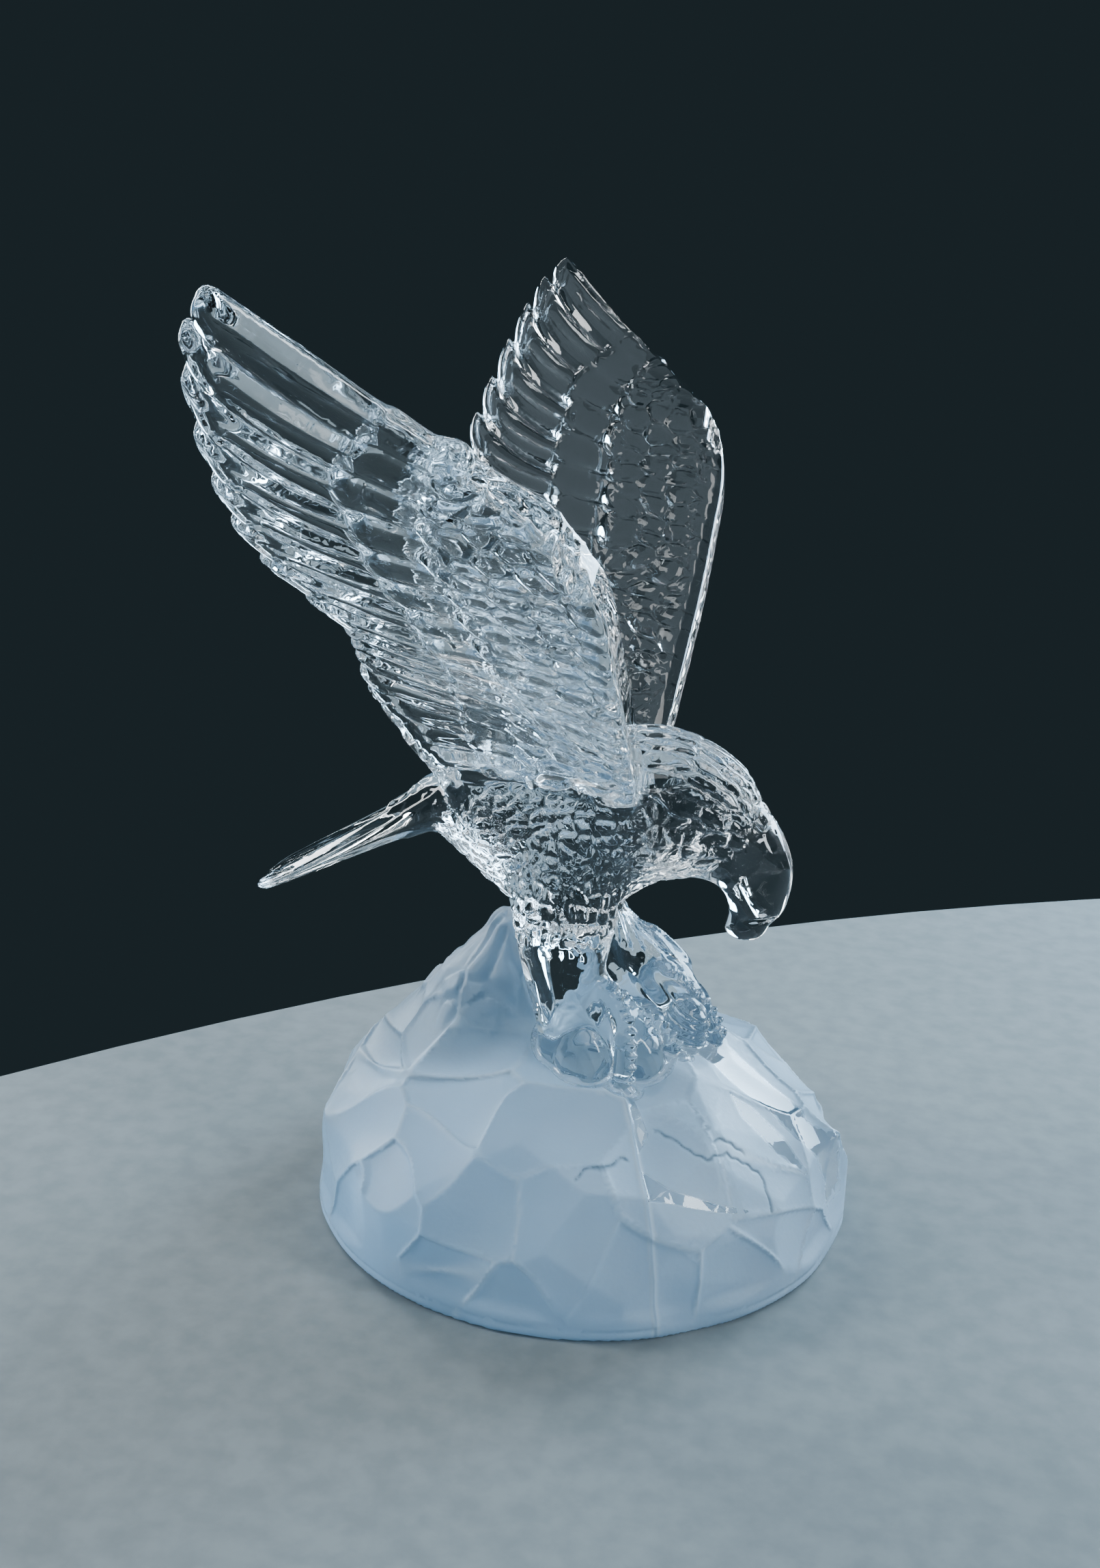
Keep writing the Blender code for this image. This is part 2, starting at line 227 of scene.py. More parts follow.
def soften(layer, times=1):
    for _ in range(times):
        padded = np.pad(layer, 1, mode="edge")
        layer = 0.5 * layer + 0.125 * (padded[:-2, 1:-1] + padded[2:, 1:-1] + padded[1:-1, :-2] + padded[1:-1, 2:])
    return layer


def inside_distance(a, b, outline):
    """How far each point of a flat grid is inside a closed outline (negative outside)."""
    shape = a.shape
    a, b = a.ravel(), b.ravel()
    best = np.full(len(a), FAR)
    odd = np.zeros(len(a), bool)
    for (a0, b0), (a1, b1) in zip(outline, np.roll(outline, -1, axis=0)):
        da, db = a1 - a0, b1 - b0
        size = da * da + db * db
        if size < 1e-14:
            continue
        t = np.clip(((a - a0) * da + (b - b0) * db) / size, 0, 1)
        best = np.minimum(best, (a - a0 - t * da) ** 2 + (b - b0 - t * db) ** 2)
        crosses = (b0 > b) != (b1 > b)
        if crosses.any():
            odd ^= crosses & (a < (b - b0) * da / (db if db else 1e-12) + a0)
    return np.where(odd, np.sqrt(best), -np.sqrt(best)).reshape(shape)


def smooth_line(points, times=3, closed=False):
    points = np.array(points, float)
    for _ in range(times):
        after = np.roll(points, -1, axis=0) if closed else points[1:]
        here = points if closed else points[:-1]
        mixed = np.stack([here * 0.75 + after * 0.25, here * 0.25 + after * 0.75], 1).reshape(-1, points.shape[1])
        points = mixed if closed else np.vstack([points[:1], mixed, points[-1:]])
    return points


# ---------------------------------------------------------------- the wing: two relief maps over its inclined plane
RISE = math.radians(44.0)
TIP_X = (-0.565, -0.700, -0.770, -0.775, -0.675, -0.715, -0.735, -0.660, -0.450)
TIP_U = (3.760, 3.480, 3.050, 2.620, 2.140, 1.840, 1.590, 1.420, 1.130)
COVERT_X = (-0.240, -0.420, -0.440, -0.400, -0.370, -0.395, -0.400, -0.385, -0.300)
COVERT_U = (3.375, 3.120, 2.740, 2.400, 2.020, 1.760, 1.550, 1.380, 1.100)
EDGE_X = (0.140, 0.200, 0.240, 0.240, 0.235, 0.225, 0.215, 0.205, 0.150)
EDGE_U = (2.990, 2.860, 2.660, 2.420, 2.120, 1.860, 1.650, 1.480, 1.120)
FEATHERS = 15
LOBE_LONG, LOBE_SHORT = 0.078, 0.046
RIM = 0.017


def keyed(keys, place):
    keys = np.array(keys, float)
    last = len(keys) - 1
    q = np.clip(place, 0, last)
    i = np.minimum(q.astype(int), last - 1)
    t = q - i
    full = np.concatenate([[2 * keys[0] - keys[1]], keys, [2 * keys[-1] - keys[-2]]])
    a, b, c, d = full[i], full[i + 1], full[i + 2], full[i + 3]
    out = 0.5 * (2 * b + (c - a) * t + (2 * a - 5 * b + 4 * c - d) * t * t + (3 * b - a - 3 * c + d) * t**3)
    return out + np.where(place < 0, (place - q) * (keys[1] - keys[0]), (place - q) * (keys[-1] - keys[-2]))


def column(s, t):
    key = 0.5 * s
    ex, eu, cx, cu = keyed(EDGE_X, key), keyed(EDGE_U, key), keyed(COVERT_X, key), keyed(COVERT_U, key)
    tx, tu = keyed(TIP_X, key), keyed(TIP_U, key)
    e, m, f = (1 - t) ** 2, 2 * t * (1 - t), t * t
    return ex * e + (2 * cx - 0.5 * (ex + tx)) * m + tx * f, eu * e + (2 * cu - 0.5 * (eu + tu)) * m + tu * f


def wing_middle(x, u):
    root = np.maximum(1.9 - u, 0.0)
    return 1.574 - 0.586 * x - 0.418 * u - 0.043 * x * x + 0.165 * x * u + 0.0755 * u * u - 0.83 * root * root * (0.25 - x)


def wing_outline():
    line = []
    for s in np.linspace(FEATHERS + 2.0, 0, 120):
        line.append(column(np.array(s), np.array(0.0)))
    for t in np.linspace(0.02, 0.99, 40):
        line.append(column(np.array(0.0), np.array(t)))
    for s in np.linspace(0, FEATHERS, FEATHERS * 14 + 1):
        across = s - math.floor(s)
        lobe = (LOBE_LONG if s < 8.0 else LOBE_SHORT) * across**0.5 * (1 - across) ** 0.8 / 0.436
        if s < 1:
            lobe = 0.055 * math.sqrt(max(1 - (2 * across - 1) ** 2, 0))
        (x0, u0), (x1, u1) = column(np.array(s), np.array(0.98)), column(np.array(s), np.array(1.0))
        size = math.hypot(x1 - x0, u1 - u0)
        line.append((x1 + (x1 - x0) / size * lobe, u1 + (u1 - u0) / size * lobe))
    for s in np.linspace(FEATHERS + 0.1, FEATHERS + 2.0, 12):
        line.append(column(np.array(s), np.array(1.0)))
    return np.array([(float(x), float(u)) for x, u in line])


def make_wing_maps():
    grid = Map((-1.02, 0.86), (0.46, 4.02), 0.0058)
    X, U = grid.A, grid.B
    # which feather, and how far along it: a coarse search, then Newton steps
    cs, ct = np.meshgrid(np.linspace(-1.5, 17.5, 96), np.linspace(-0.25, 1.25, 31), indexing="ij")
    cx, cu = column(cs, ct)
    sx, su = X[::4, ::4], U[::4, ::4]
    near = np.empty(sx.size, int)
    for start in range(0, sx.size, 2000):
        px, pu = sx.ravel()[start : start + 2000, None], su.ravel()[start : start + 2000, None]
        near[start : start + 2000] = np.argmin((cx.ravel()[None] - px) ** 2 + (cu.ravel()[None] - pu) ** 2, axis=1)
    near = np.repeat(np.repeat(near.reshape(sx.shape), 4, 0), 4, 1)[: X.shape[0], : X.shape[1]]
    s, t = cs.ravel()[near].copy(), ct.ravel()[near].copy()
    for _ in range(7):
        x0, u0 = column(s, t)
        xs, us = column(s + 1e-3, t)
        xt, ut = column(s, t + 1e-3)
        a, b, c, d = (xs - x0) * 1e3, (xt - x0) * 1e3, (us - u0) * 1e3, (ut - u0) * 1e3
        det = a * d - b * c
        det = np.where(np.abs(det) < 1e-4, np.copysign(1e-4, det), det)
        ds = np.clip(((X - x0) * d - (U - u0) * b) / det, -0.5, 0.5)
        dt = np.clip(((U - u0) * a - (X - x0) * c) / det, -0.08, 0.08)
        s, t = np.clip(s + ds, -2, 18.5), np.clip(t + dt, -0.4, 1.4)
    x0, u0 = column(s, t)
    xs, us = column(s + 0.25, t)
    wide = np.hypot(xs - x0, us - u0) * 4  # one feather's width here
    edge = inside_distance(X, U, wing_outline())

    flat = np.stack([X.ravel(), U.ravel(), np.zeros(X.size)], 1)
    drift = wave(flat, 3, 0.5).reshape(X.shape)
    wobble = wave(flat, 4, 0.22).reshape(X.shape)
    strong = np.clip(wide / 0.20, 0.40, 1.0)

    def feather_row(shift, seed):
        place = s + shift
        number = np.floor(place)
        return place - number - 0.5, number

    def primaries(shift, outward):
        """Long feathers, flat-topped; the outer face has a sunken lens in each, pointed near the tip."""
        c, number = feather_row(shift, 1)
        tip_gap = (1.0 - t) * long_here
        side = (0.5 - np.abs(c)) * wide
        groove = np.exp(-((side / 0.020) ** 2))
        if outward:
            half = 0.31 * np.clip((tip_gap - 0.10) / 0.42, 0, 1) ** 0.6
            lens = step(-0.006, 0.026, (half - np.abs(c - 0.05)) * wide) * step(0.46, 0.56, t) * step(0.0, 0.05, half)
            lens = lens * (0.65 + 0.35 * np.clip(1 - ((c - 0.05) / np.maximum(half, 0.05)) ** 2, 0, 1))
            high = 0.026 - 0.025 * groove - 0.017 * lens - 0.012 * c
        else:
            high = 0.024 - 0.024 * groove + 0.008 * c
        return high * strong

    def coverts(shift, tip_line, lobe, high):
        """A row of overlapping rounded feathers that ends at tip_line; returns height and whether it covers."""
        c, number = feather_row(shift, 2)
        jitter = 0.012 * np.sin(number * 2.4 + shift * 9)
        end = tip_line + jitter + lobe * (np.sqrt(np.clip(1 - (2 * c) ** 2, 0, 1)) - 0.6)
        gap = (end - t) * long_here
        cover = step(-0.004, 0.010, gap)
        body = high * pillow(c, 3.0) + 0.006 * np.exp(-(((gap - 0.022) / 0.014) ** 2)) - 0.008 * step(0.03, 0.14, gap)
        return body, cover

    def face(shift, outward, seed, second=0.50, third=0.31):
        base = np.interp(t, [0.0, 0.03, 0.10, 0.28, 0.36, 0.52, 0.75, 1.0], [0.046, 0.062, 0.054, 0.040, 0.028, 0.014, 0.013, 0.010])
        base = base * np.clip(0.45 + 0.55 * (s + 0.2) / 0.8, 0.45, 1.0)
        long = primaries(shift, outward)
        much = 1.0 if outward else 0.95
        two, over_two = coverts(shift + 0.35, second, 0.055, 0.022 * much)
        three, over_three = coverts(shift * 0.7 + 0.1, third, 0.045, 0.020 * much)
        high = long * (1 - over_two) + (two * strong + 0.004) * over_two
        high = high * (1 - over_three) + (three * strong + 0.006) * over_three
        # small rounded scales up to the bar of the leading edge
        near, next_near, past = tiles(reach / 0.074 + 0.25 * drift, U / 0.092 + 0.22 * wobble + seed * 0.4)
        cells = 1 - np.exp(-(((next_near - near) / 0.20) ** 2)) + 0.35 * past
        near_edge = step(0.30, 0.25, t + 0.02 * drift)
        high = high * (1 - near_edge) + (0.012 * (1.0 if outward else 0.75) * cells + 0.009) * near_edge
        bar = step(0.046, 0.026, reach)
        high = high * (1 - bar) + 0.016 * bar
        rim = (0.010 if outward else 0.015) * np.exp(-(((edge - 0.026) / 0.018) ** 2)) * step(0.45, 0.8, t)
        return soften(base + high + rim, 3)

    long_here = np.hypot(keyed(TIP_X, s / 2) - keyed(EDGE_X, s / 2), keyed(TIP_U, s / 2) - keyed(EDGE_U, s / 2))
    reach = t * long_here
    outer = face(0.0, True, 1)
    inner = face(0.03, False, 2, 0.485, 0.30)
    root = step(1.35, 1.15, U)
    quiet = [0.35 * layer + 0.65 * soften(layer, 110) + 0.02 * root for layer in (outer, inner)]
    return grid, outer + 0.02 * root, inner + 0.02 * root, quiet[0], quiet[1], edge


def wing_field(p, wing):
    grid, outer, inner, quiet_outer, quiet_inner, edge = wing
    x, y, z = p[:, 0], np.abs(p[:, 1]), p[:, 2]
    near = p[:, 1] < 0
    u = y * math.cos(RISE) + z * math.sin(RISE)
    n = -y * math.sin(RISE) + z * math.cos(RISE) - wing_middle(x, u)
    below, above, inward = np.zeros(len(p)), np.zeros(len(p)), np.zeros(len(p))
    for m, layers in ((near, (outer, quiet_inner, edge)), (~near, (quiet_outer, inner, edge))):
        below[m], above[m], inward[m] = grid.read(layers, x[m], u[m])
    qn = np.maximum(n - (above - RIM), -n - (below - RIM)) * 0.93
    qd = RIM - inward
    blade = np.hypot(np.maximum(qn, 0), np.maximum(qd, 0)) + np.minimum(np.maximum(qn, qd), 0) - RIM
    thumb = np.sqrt(((x + 0.115) * 0.7) ** 2 + (u - 3.225) ** 2 + n * n) - np.where(near, 0.045, 0.028)
    return smin(blade, thumb, 0.02)


# ---------------------------------------------------------------- body, head, tail
BODY = table(
    (
        (-0.66, 1.518, 0.055, 0.060),
        (-0.58, 1.510, 0.110, 0.120),
        (-0.50, 1.500, 0.150, 0.170),
        (-0.34, 1.462, 0.240, 0.255),
        (-0.14, 1.425, 0.325, 0.310),
        (0.06, 1.470, 0.305, 0.300),
        (0.22, 1.545, 0.255, 0.240),
        (0.36, 1.555, 0.190, 0.180),
        (0.44, 1.550, 0.110, 0.110),
    )
)


def body_field(p):
    x, y, z = p.T
    zc, high, wide = at(BODY, x)
    d = ring_distance(y / wide, (z - zc) / high, wide, high)
    d = smax(d, np.maximum(x - 0.45, -0.68 - x), 0.05)
    soft = wave(p, 21, 0.35)
    relief = knobs(p, (0.066, 0.044, 0.044), 23)
    deep = 0.011 * (1 - 0.55 * step(-0.04, 0.10, y))
    return d - deep * (relief - 0.5) - 0.004 * soft


HEAD_LINE = (
    (0.10, 1.830), (0.200, 1.838), (0.307, 1.822), (0.390, 1.790), (0.466, 1.745), (0.525, 1.692), (0.572, 1.632), (0.612, 1.588), (0.645, 1.544),
    (0.672, 1.500), (0.692, 1.452), (0.706, 1.410), (0.713, 1.367), (0.714, 1.325), (0.709, 1.289), (0.702, 1.252), (0.692, 1.219), (0.666, 1.186), (0.646, 1.166),
    (0.634, 1.137), (0.614, 1.113), (0.590, 1.099), (0.566, 1.093), (0.540, 1.094), (0.512, 1.104), (0.490, 1.122), (0.484, 1.140), (0.492, 1.172),
    (0.497, 1.208), (0.492, 1.240), (0.478, 1.272), (0.458, 1.296), (0.430, 1.312), (0.380, 1.321), (0.320, 1.318), (0.250, 1.308), (0.10, 1.296),
)
# along the head and beak: x, z, half width, depth of its rounding
HEAD_AXIS = (
    (0.05, 1.555, 0.275, 0.265),
    (0.18, 1.570, 0.255, 0.255),
    (0.30, 1.575, 0.228, 0.235),
    (0.42, 1.550, 0.195, 0.205),
    (0.51, 1.495, 0.158, 0.165),
    (0.565, 1.420, 0.124, 0.105),
    (0.598, 1.340, 0.100, 0.070),
    (0.604, 1.270, 0.084, 0.058),
    (0.598, 1.210, 0.068, 0.052),
    (0.575, 1.160, 0.054, 0.045),
    (0.548, 1.115, 0.038, 0.034),
)


def make_head_map():
    grid = Map((-0.02, 1.02), (0.82, 1.94), 0.006)
    X, Z = grid.A, grid.B
    line = smooth_line(HEAD_LINE, 2)
    line = np.vstack([line, [[-0.3, 1.296], [-0.3, 1.83]]])
    edge = inside_distance(X, Z, line)
    best, wide, deep, along = np.full(X.shape, FAR), np.zeros(X.shape), np.zeros(X.shape), np.zeros(X.shape)
    lift = np.zeros(X.shape)
    run = 0.0
    for (x0, z0, w0, d0), (x1, z1, w1, d1) in zip(HEAD_AXIS, HEAD_AXIS[1:]):
        dx, dz = x1 - x0, z1 - z0
        t = np.clip(((X - x0) * dx + (Z - z0) * dz) / (dx * dx + dz * dz), 0, 1)
        dist = np.hypot(X - x0 - t * dx, Z - z0 - t * dz)
        closer = dist < best
        best = np.where(closer, dist, best)
        wide = np.where(closer, w0 + (w1 - w0) * t, wide)
        deep = np.where(closer, d0 + (d1 - d0) * t, deep)
        along = np.where(closer, run + t * math.hypot(dx, dz), along)
        lift = np.where(closer, ((Z - z0) * dx - (X - x0) * dz) / math.hypot(dx, dz), lift)
        run += math.hypot(dx, dz)
    return grid, edge, soften(wide, 14), soften(deep, 14), soften(along, 6), soften(lift, 4)


def head_field(p, head):
    x, y, z = p[:, 0], np.abs(p[:, 1]), p[:, 2]
    edge, wide, deep, along, lift = head[0].read(head[1:], x, z)
    qa = 1 - np.minimum(edge / deep, 1.0)
    rad = np.sqrt(qa * qa + (y / wide) ** 2) + 1e-9
    d = (rad - 1) * rad / np.sqrt((qa / deep) ** 2 + (y / wide / wide) ** 2 + 0.25 / (deep * deep) * (qa <= 0))
    d = np.where(rad < 0.2, -0.8 * np.minimum(wide, deep), d)
    d = smax(d, 0.02 - x, 0.04)
    # feathers: long ones on crown and nape, small round cells on cheek and throat, none on the beak
    soft = wave(p, 31, 0.30)
    hood_edge = np.interp(x, [0.0, 0.15, 0.22, 0.30, 0.36, 0.42, 0.50, 0.60], [1.80, 1.735, 1.675, 1.628, 1.600, 1.576, 1.545, 1.48])
    above_edge = z - hood_edge + 0.010 * np.sin(x * 45)
    hood = step(-0.010, 0.010, above_edge) * step(0.60, 0.52, x)
    mild = (1 - 0.55 * step(-0.03, 0.08, p[:, 1])) * (1 - 0.85 * np.exp(-(((above_edge - 0.035) / 0.038) ** 2)))
    feathered = step(0.58, 0.47, along + 0.45 * np.maximum(1.50 - z, 0))
    turn = np.arctan2(y, lift + 0.02) * 0.21
    near, next_near, past = tiles(-along / 0.130 + 0.15 * soft, turn / 0.050 + 0.15 * wave(p, 32, 0.2), 0.5)
    long = 1 - np.exp(-(((next_near - near) / 0.22) ** 2)) - 0.3 * past
    cells = knobs(p, (0.062, 0.062, 0.062), 34, 0.16)
    d = d - hood * 0.020 - feathered * mild * np.where(hood > 0.5, 0.012 * (long - 0.5), 0.011 * (cells - 0.5)) - 0.002 * soft
    q = np.stack([x, y, z], 1)
    socket = ball_distance(q, (0.430, 0.190, 1.515), 0.050, 0.026, 0.030)
    d = smax(d, -socket, 0.02)
    eye = ball_distance(q, (0.435, 0.156, 1.517), 0.026, 0.018, 0.024)
    d = smin(d, eye, 0.008)
    # gape: a fine line back from the hook, and the inner edge of the bill
    gape, _ = rod_distance(q, ((0.505, 0.072, 1.192), (0.560, 0.070, 1.186), (0.610, 0.062, 1.192), (0.690, 0.040, 1.204)), (0.013, 0.014, 0.014, 0.013))
    gape2, _ = rod_distance(q, ((0.530, 0.098, 1.335), (0.550, 0.090, 1.290), (0.575, 0.080, 1.240), (0.600, 0.066, 1.196)), (0.009, 0.012, 0.013, 0.013))
    return smax(d, -np.minimum(gape, gape2), 0.008)


TAIL_ROOT, TAIL_TIP = (-0.36, 1.625), (-1.275, 1.115)
TAIL = table(
    (
        (0.00, 0.150, 0.120),
        (0.18, 0.140, 0.095),
        (0.40, 0.140, 0.066),
        (0.65, 0.165, 0.046),
        (0.84, 0.180, 0.034),
        (0.94, 0.150, 0.027),
        (1.00, 0.075, 0.016),
    )
)


def tail_field(p):
    dx, dz = TAIL_TIP[0] - TAIL_ROOT[0], TAIL_TIP[1] - TAIL_ROOT[1]
    size = math.hypot(dx, dz)
    rx, rz = p[:, 0] - TAIL_ROOT[0], p[:, 2] - TAIL_ROOT[1]
    share = (rx * dx + rz * dz) / size / size
    off = (rz * dx - rx * dz) / size * -1
    y = p[:, 1]
    wide, thick = at(TAIL, share)
    fan = y / wide
    lines = np.cos(fan * math.pi * 3.5)
    grooves = 0.0045 * lines * step(0.1, 0.3, share) * step(1.0, 0.9, share)
    ends = share + 0.05 * np.abs(fan)
    rows = 0.010 * (step(0.24, 0.21, ends + 0.02 * lines) + step(0.42, 0.39, ends - 0.02 * lines))
    thick = thick * 0.92 + (grooves + rows) * np.sqrt(np.clip(1 - fan * fan, 0, 1))
    q = (np.abs(y / wide) ** 2.4 + np.abs(off / thick) ** 2.4) ** (1 / 2.4)
    d = (q - 1) * thick / np.sqrt(1 + 0.0 * q)
    return smax(d, np.maximum(share - 1, -share - 0.05) * size, 0.02)


# ---------------------------------------------------------------- legs and feet
LEG = table(
    (
        (0.62, 0.000, 0.255, 0.120, 0.095),
        (0.72, -0.005, 0.255, 0.122, 0.096),
        (0.82, -0.020, 0.255, 0.128, 0.100),
        (0.95, -0.050, 0.245, 0.140, 0.112),
        (1.10, -0.062, 0.225, 0.165, 0.130),
        (1.29, -0.055, 0.200, 0.205, 0.140),
        (1.48, -0.060, 0.150, 0.230, 0.130),
    )
)
FAR_SHIFT = ((0.62, 0.82, 0.95, 1.10, 1.29), (0.0575, 0.0575, 0.025, -0.025, 0.0))
SHANK = ((-0.060, 0.235, 1.060), (0.060, 0.240, 0.900), (0.150, 0.240, 0.800), (0.225, 0.235, 0.710), (0.275, 0.230, 0.610))
SHANK_SIZE = (0.085, 0.088, 0.090, 0.088, 0.080)
# toes of the near foot, each a knobbly ridge from the ankle down to the rock
TOES = (
    ((0.110, 0.275, 0.955), (0.158, 0.300, 0.895), (0.188, 0.325, 0.850), (0.197, 0.345, 0.780), (0.200, 0.360, 0.710), (0.195, 0.370, 0.620)),
    ((0.140, 0.220, 0.900), (0.200, 0.215, 0.835), (0.243, 0.210, 0.780), (0.264, 0.205, 0.720), (0.268, 0.205, 0.640)),
    ((0.150, 0.170, 0.860), (0.225, 0.150, 0.805), (0.285, 0.135, 0.765), (0.325, 0.128, 0.710), (0.350, 0.125, 0.650)),
)


def foot_shift(p, side):
    """A point of the far foot moved to where it would lie on the near one."""
    fall = np.clip((1.20 - p[:, 2]) / 0.35, 0.0, 1.0)
    q = p.copy()
    q[:, 1] = p[:, 1] * side
    if side > 0:
        q[:, 0] -= 0.115 * fall
        q[:, 1] += 0.030 * fall
    return q


def leg_field(p, side):
    x, y, z = p[:, 0], p[:, 1] * side, p[:, 2]
    xc, yc, long, wide = at(LEG, z)
    if side > 0:
        xc = xc + np.interp(z, *FAR_SHIFT)
        yc = yc - 0.030 * np.clip((1.20 - z) / 0.35, 0.0, 1.0)
    d = ring_distance((x - xc) / long, (y - yc) / wide, long, wide)
    d = smax(d, z - 1.50, 0.04)
    soft = wave(p, 41 + side, 0.25)
    relief = knobs(p, (0.044, 0.044, 0.058), 45)
    feathered = step(1.04, 1.18, z + 0.04 * soft)
    deep = 0.011 if side < 0 else 0.006
    return d - feathered * deep * (relief - 0.5) - 0.003 * soft - 0.004 * (1 - feathered) * wave(p, 48, 0.13)


def foot_field(p, side):
    q = foot_shift(p, side)
    shank, _ = rod_distance(q, SHANK, SHANK_SIZE, 0.03)
    d = shank
    for toe in TOES:
        line = smooth_line(toe, 1)
        along_d, along = rod_distance(q, line, [0.036] * len(line))
        ridge, along2 = rod_distance(q, [(x + 0.024, y + 0.006, z + 0.014) for x, y, z in line], [0.018] * len(line))
        bead = 0.009 * np.cos(along2 * (2 * math.pi / 0.042))
        d = smin(d, along_d, 0.025)
        if side < 0 or toe is TOES[-1]:
            d = smin(d, ridge - bead, 0.006)
    pad = ball_distance(q, (0.050, 0.322, 0.700), 0.098, 0.088, 0.128)
    d = smin(d, pad, 0.018)
    slit = ball_distance(q, (0.005, 0.412, 0.665), 0.060, 0.030, 0.010)
    d = smax(d, -slit, 0.012)
    if side > 0:
        rippled = ball_distance(p, (0.360, 0.030, 0.700), 0.085, 0.085, 0.125)
        ripple = 0.004 * np.sin((p[:, 2] + 0.5 * p[:, 0]) * (2 * math.pi / 0.044) + 1.2 * wave(p, 51, 0.2))
        d = smin(d, rippled - ripple, 0.015)
        cuff = np.cos(np.arctan2(q[:, 1] - 0.24, q[:, 0]) * 16)
        band = np.exp(-(((p[:, 2] - (1.02 - 0.5 * (q[:, 0] - 0.05))) / 0.055) ** 2))
        d = d - 0.012 * band * np.maximum(cuff, -0.3)
    return d


# ---------------------------------------------------------------- the rock
FOOT_BAND, ROCK_TOP, ROCK_BULGE, ROCK_ROUND, ROCK_LEAN = 0.040, 0.74, 3.0, 0.775, -0.05
ROWS = ((0.12, 12), (0.27, 11), (0.41, 10), (0.54, 8), (0.65, 5))
SPUR = table(
    (
        (0.30, -0.36, 0.60, 0.56),
        (0.40, -0.36, 0.56, 0.52),
        (0.58, -0.36, 0.44, 0.40),
        (0.74, -0.36, 0.31, 0.30),
        (0.90, -0.335, 0.225, 0.21),
        (1.02, -0.27, 0.13, 0.14),
        (1.12, -0.24, 0.09, 0.11),
    )
)


def dome_radius(z):
    share = np.clip((z - FOOT_BAND) / (ROCK_TOP - FOOT_BAND), 0.0, 1.0)
    return np.maximum(1.0 - share**ROCK_BULGE, 0.0) ** ROCK_ROUND


def facet_planes():
    """Flat chips: each touches the smooth dome at one point of its row."""
    draw = random.Random(11)
    points, normals = [], []
    for height, count in ROWS:
        turn = draw.uniform(0, 2 * math.pi)
        for j in range(count):
            z = min(max(height + draw.uniform(-0.05, 0.05), 0.09), ROCK_TOP - 0.012)
            angle = turn + 2 * math.pi * (j + draw.uniform(-0.33, 0.33)) / count
            r = float(dome_radius(z))
            slope = float(dome_radius(z + 0.004) - dome_radius(z - 0.004)) / 0.008
            normal = np.array([math.cos(angle), math.sin(angle), -slope])
            normal /= np.linalg.norm(normal)
            lean = ROCK_LEAN * z / ROCK_TOP
            points.append((0.988 * r * math.cos(angle) + lean, 0.988 * r * math.sin(angle), z))
            normals.append(normal)
    points.append((ROCK_LEAN, 0, ROCK_TOP))
    normals.append((0, 0, 1))
    return np.array(points), np.array(normals)


def make_chips():
    draw = random.Random(17)
    chips = []
    for height, count in ((0.10, 12), (0.24, 12), (0.37, 11), (0.50, 9), (0.62, 7), (0.71, 4)):
        turn = draw.uniform(0, 6.28)
        for j in range(count):
            z = height + draw.uniform(-0.075, 0.075)
            angle = turn + 2 * math.pi * (j + draw.uniform(-0.46, 0.46)) / count
            r = float(dome_radius(max(z, 0.05)))
            chips.append((r * math.cos(angle) + ROCK_LEAN * z, r * math.sin(angle), z))
    for _ in range(26):  # on the rear ridge
        angle, z = draw.uniform(0, 6.28), draw.uniform(0.6, 1.1)
        chips.append((-0.33 + 0.30 * math.cos(angle), 0.28 * math.sin(angle), z))
    return np.array(chips)


PLANES = facet_planes()
CHIPS = make_chips()
CRACKS = (
    ((0.372, -0.554, 0.558), (0.433, -0.55, 0.542), (0.468, -0.554, 0.528), (0.505, -0.547, 0.517), (0.586, -0.497, 0.502), (0.677, -0.481, 0.457), (0.747, -0.469, 0.411), (0.765, -0.488, 0.382), (0.776, -0.521, 0.346), (0.777, -0.543, 0.322)),
    ((0.512, -0.472, 0.543), (0.555, -0.449, 0.535), (0.606, -0.447, 0.512), (0.661, -0.452, 0.481)),
    ((0.117, -0.766, 0.498), (0.140, -0.734, 0.515), (0.181, -0.715, 0.521), (0.242, -0.702, 0.518), (0.281, -0.684, 0.520)),
)


def chip_cells(p):
    """Distances to the nearest and the second nearest chip centre, and which is nearest."""
    first, second = np.full(len(p), FAR), np.full(len(p), FAR)
    which = np.zeros(len(p), int)
    q = p + 0.05 * np.stack([wave(p, 61, 0.6), wave(p, 62, 0.6), wave(p, 63, 0.6)], 1)
    for k, centre in enumerate(CHIPS):
        d = np.sqrt(((q - centre) ** 2).sum(1))
        nearer = d < first
        second = np.where(nearer, first, np.minimum(second, d))
        which = np.where(nearer, k, which)
        first = np.where(nearer, d, first)
    return first, second, which


def crack_gap(p):
    """Distance to the nearest crack, measured over the rock's skin."""
    p = p + 0.004 * np.stack([wave(p, 81, 0.05), wave(p, 82, 0.05), wave(p, 83, 0.05)], 1)
    turn, rho = np.arctan2(p[:, 1], p[:, 0]), np.hypot(p[:, 0], p[:, 1])
    best = np.full(len(p), FAR)
    for line in CRACKS:
        spots = [(math.atan2(y, x), z) for x, y, z in line]
        for (a0, z0), (a1, z1) in zip(spots, spots[1:]):
            da, dz = (a1 - a0) * rho, 1.25 * (z1 - z0)
            pa, pz = (turn - a0) * rho, 1.25 * (p[:, 2] - z0)
            t = np.clip((pa * da + pz * dz) / np.maximum(da * da + dz * dz, 1e-9), 0, 1)
            best = np.minimum(best, np.hypot(pa - t * da, pz - t * dz))
    return best


def seam_turn(z):
    """Angle of the mould seam about the upright axis at a height."""
    return np.radians(np.interp(z, [0.05, 0.25, 0.45, 0.65], [-64.0, -64.6, -65.0, -62.9]))


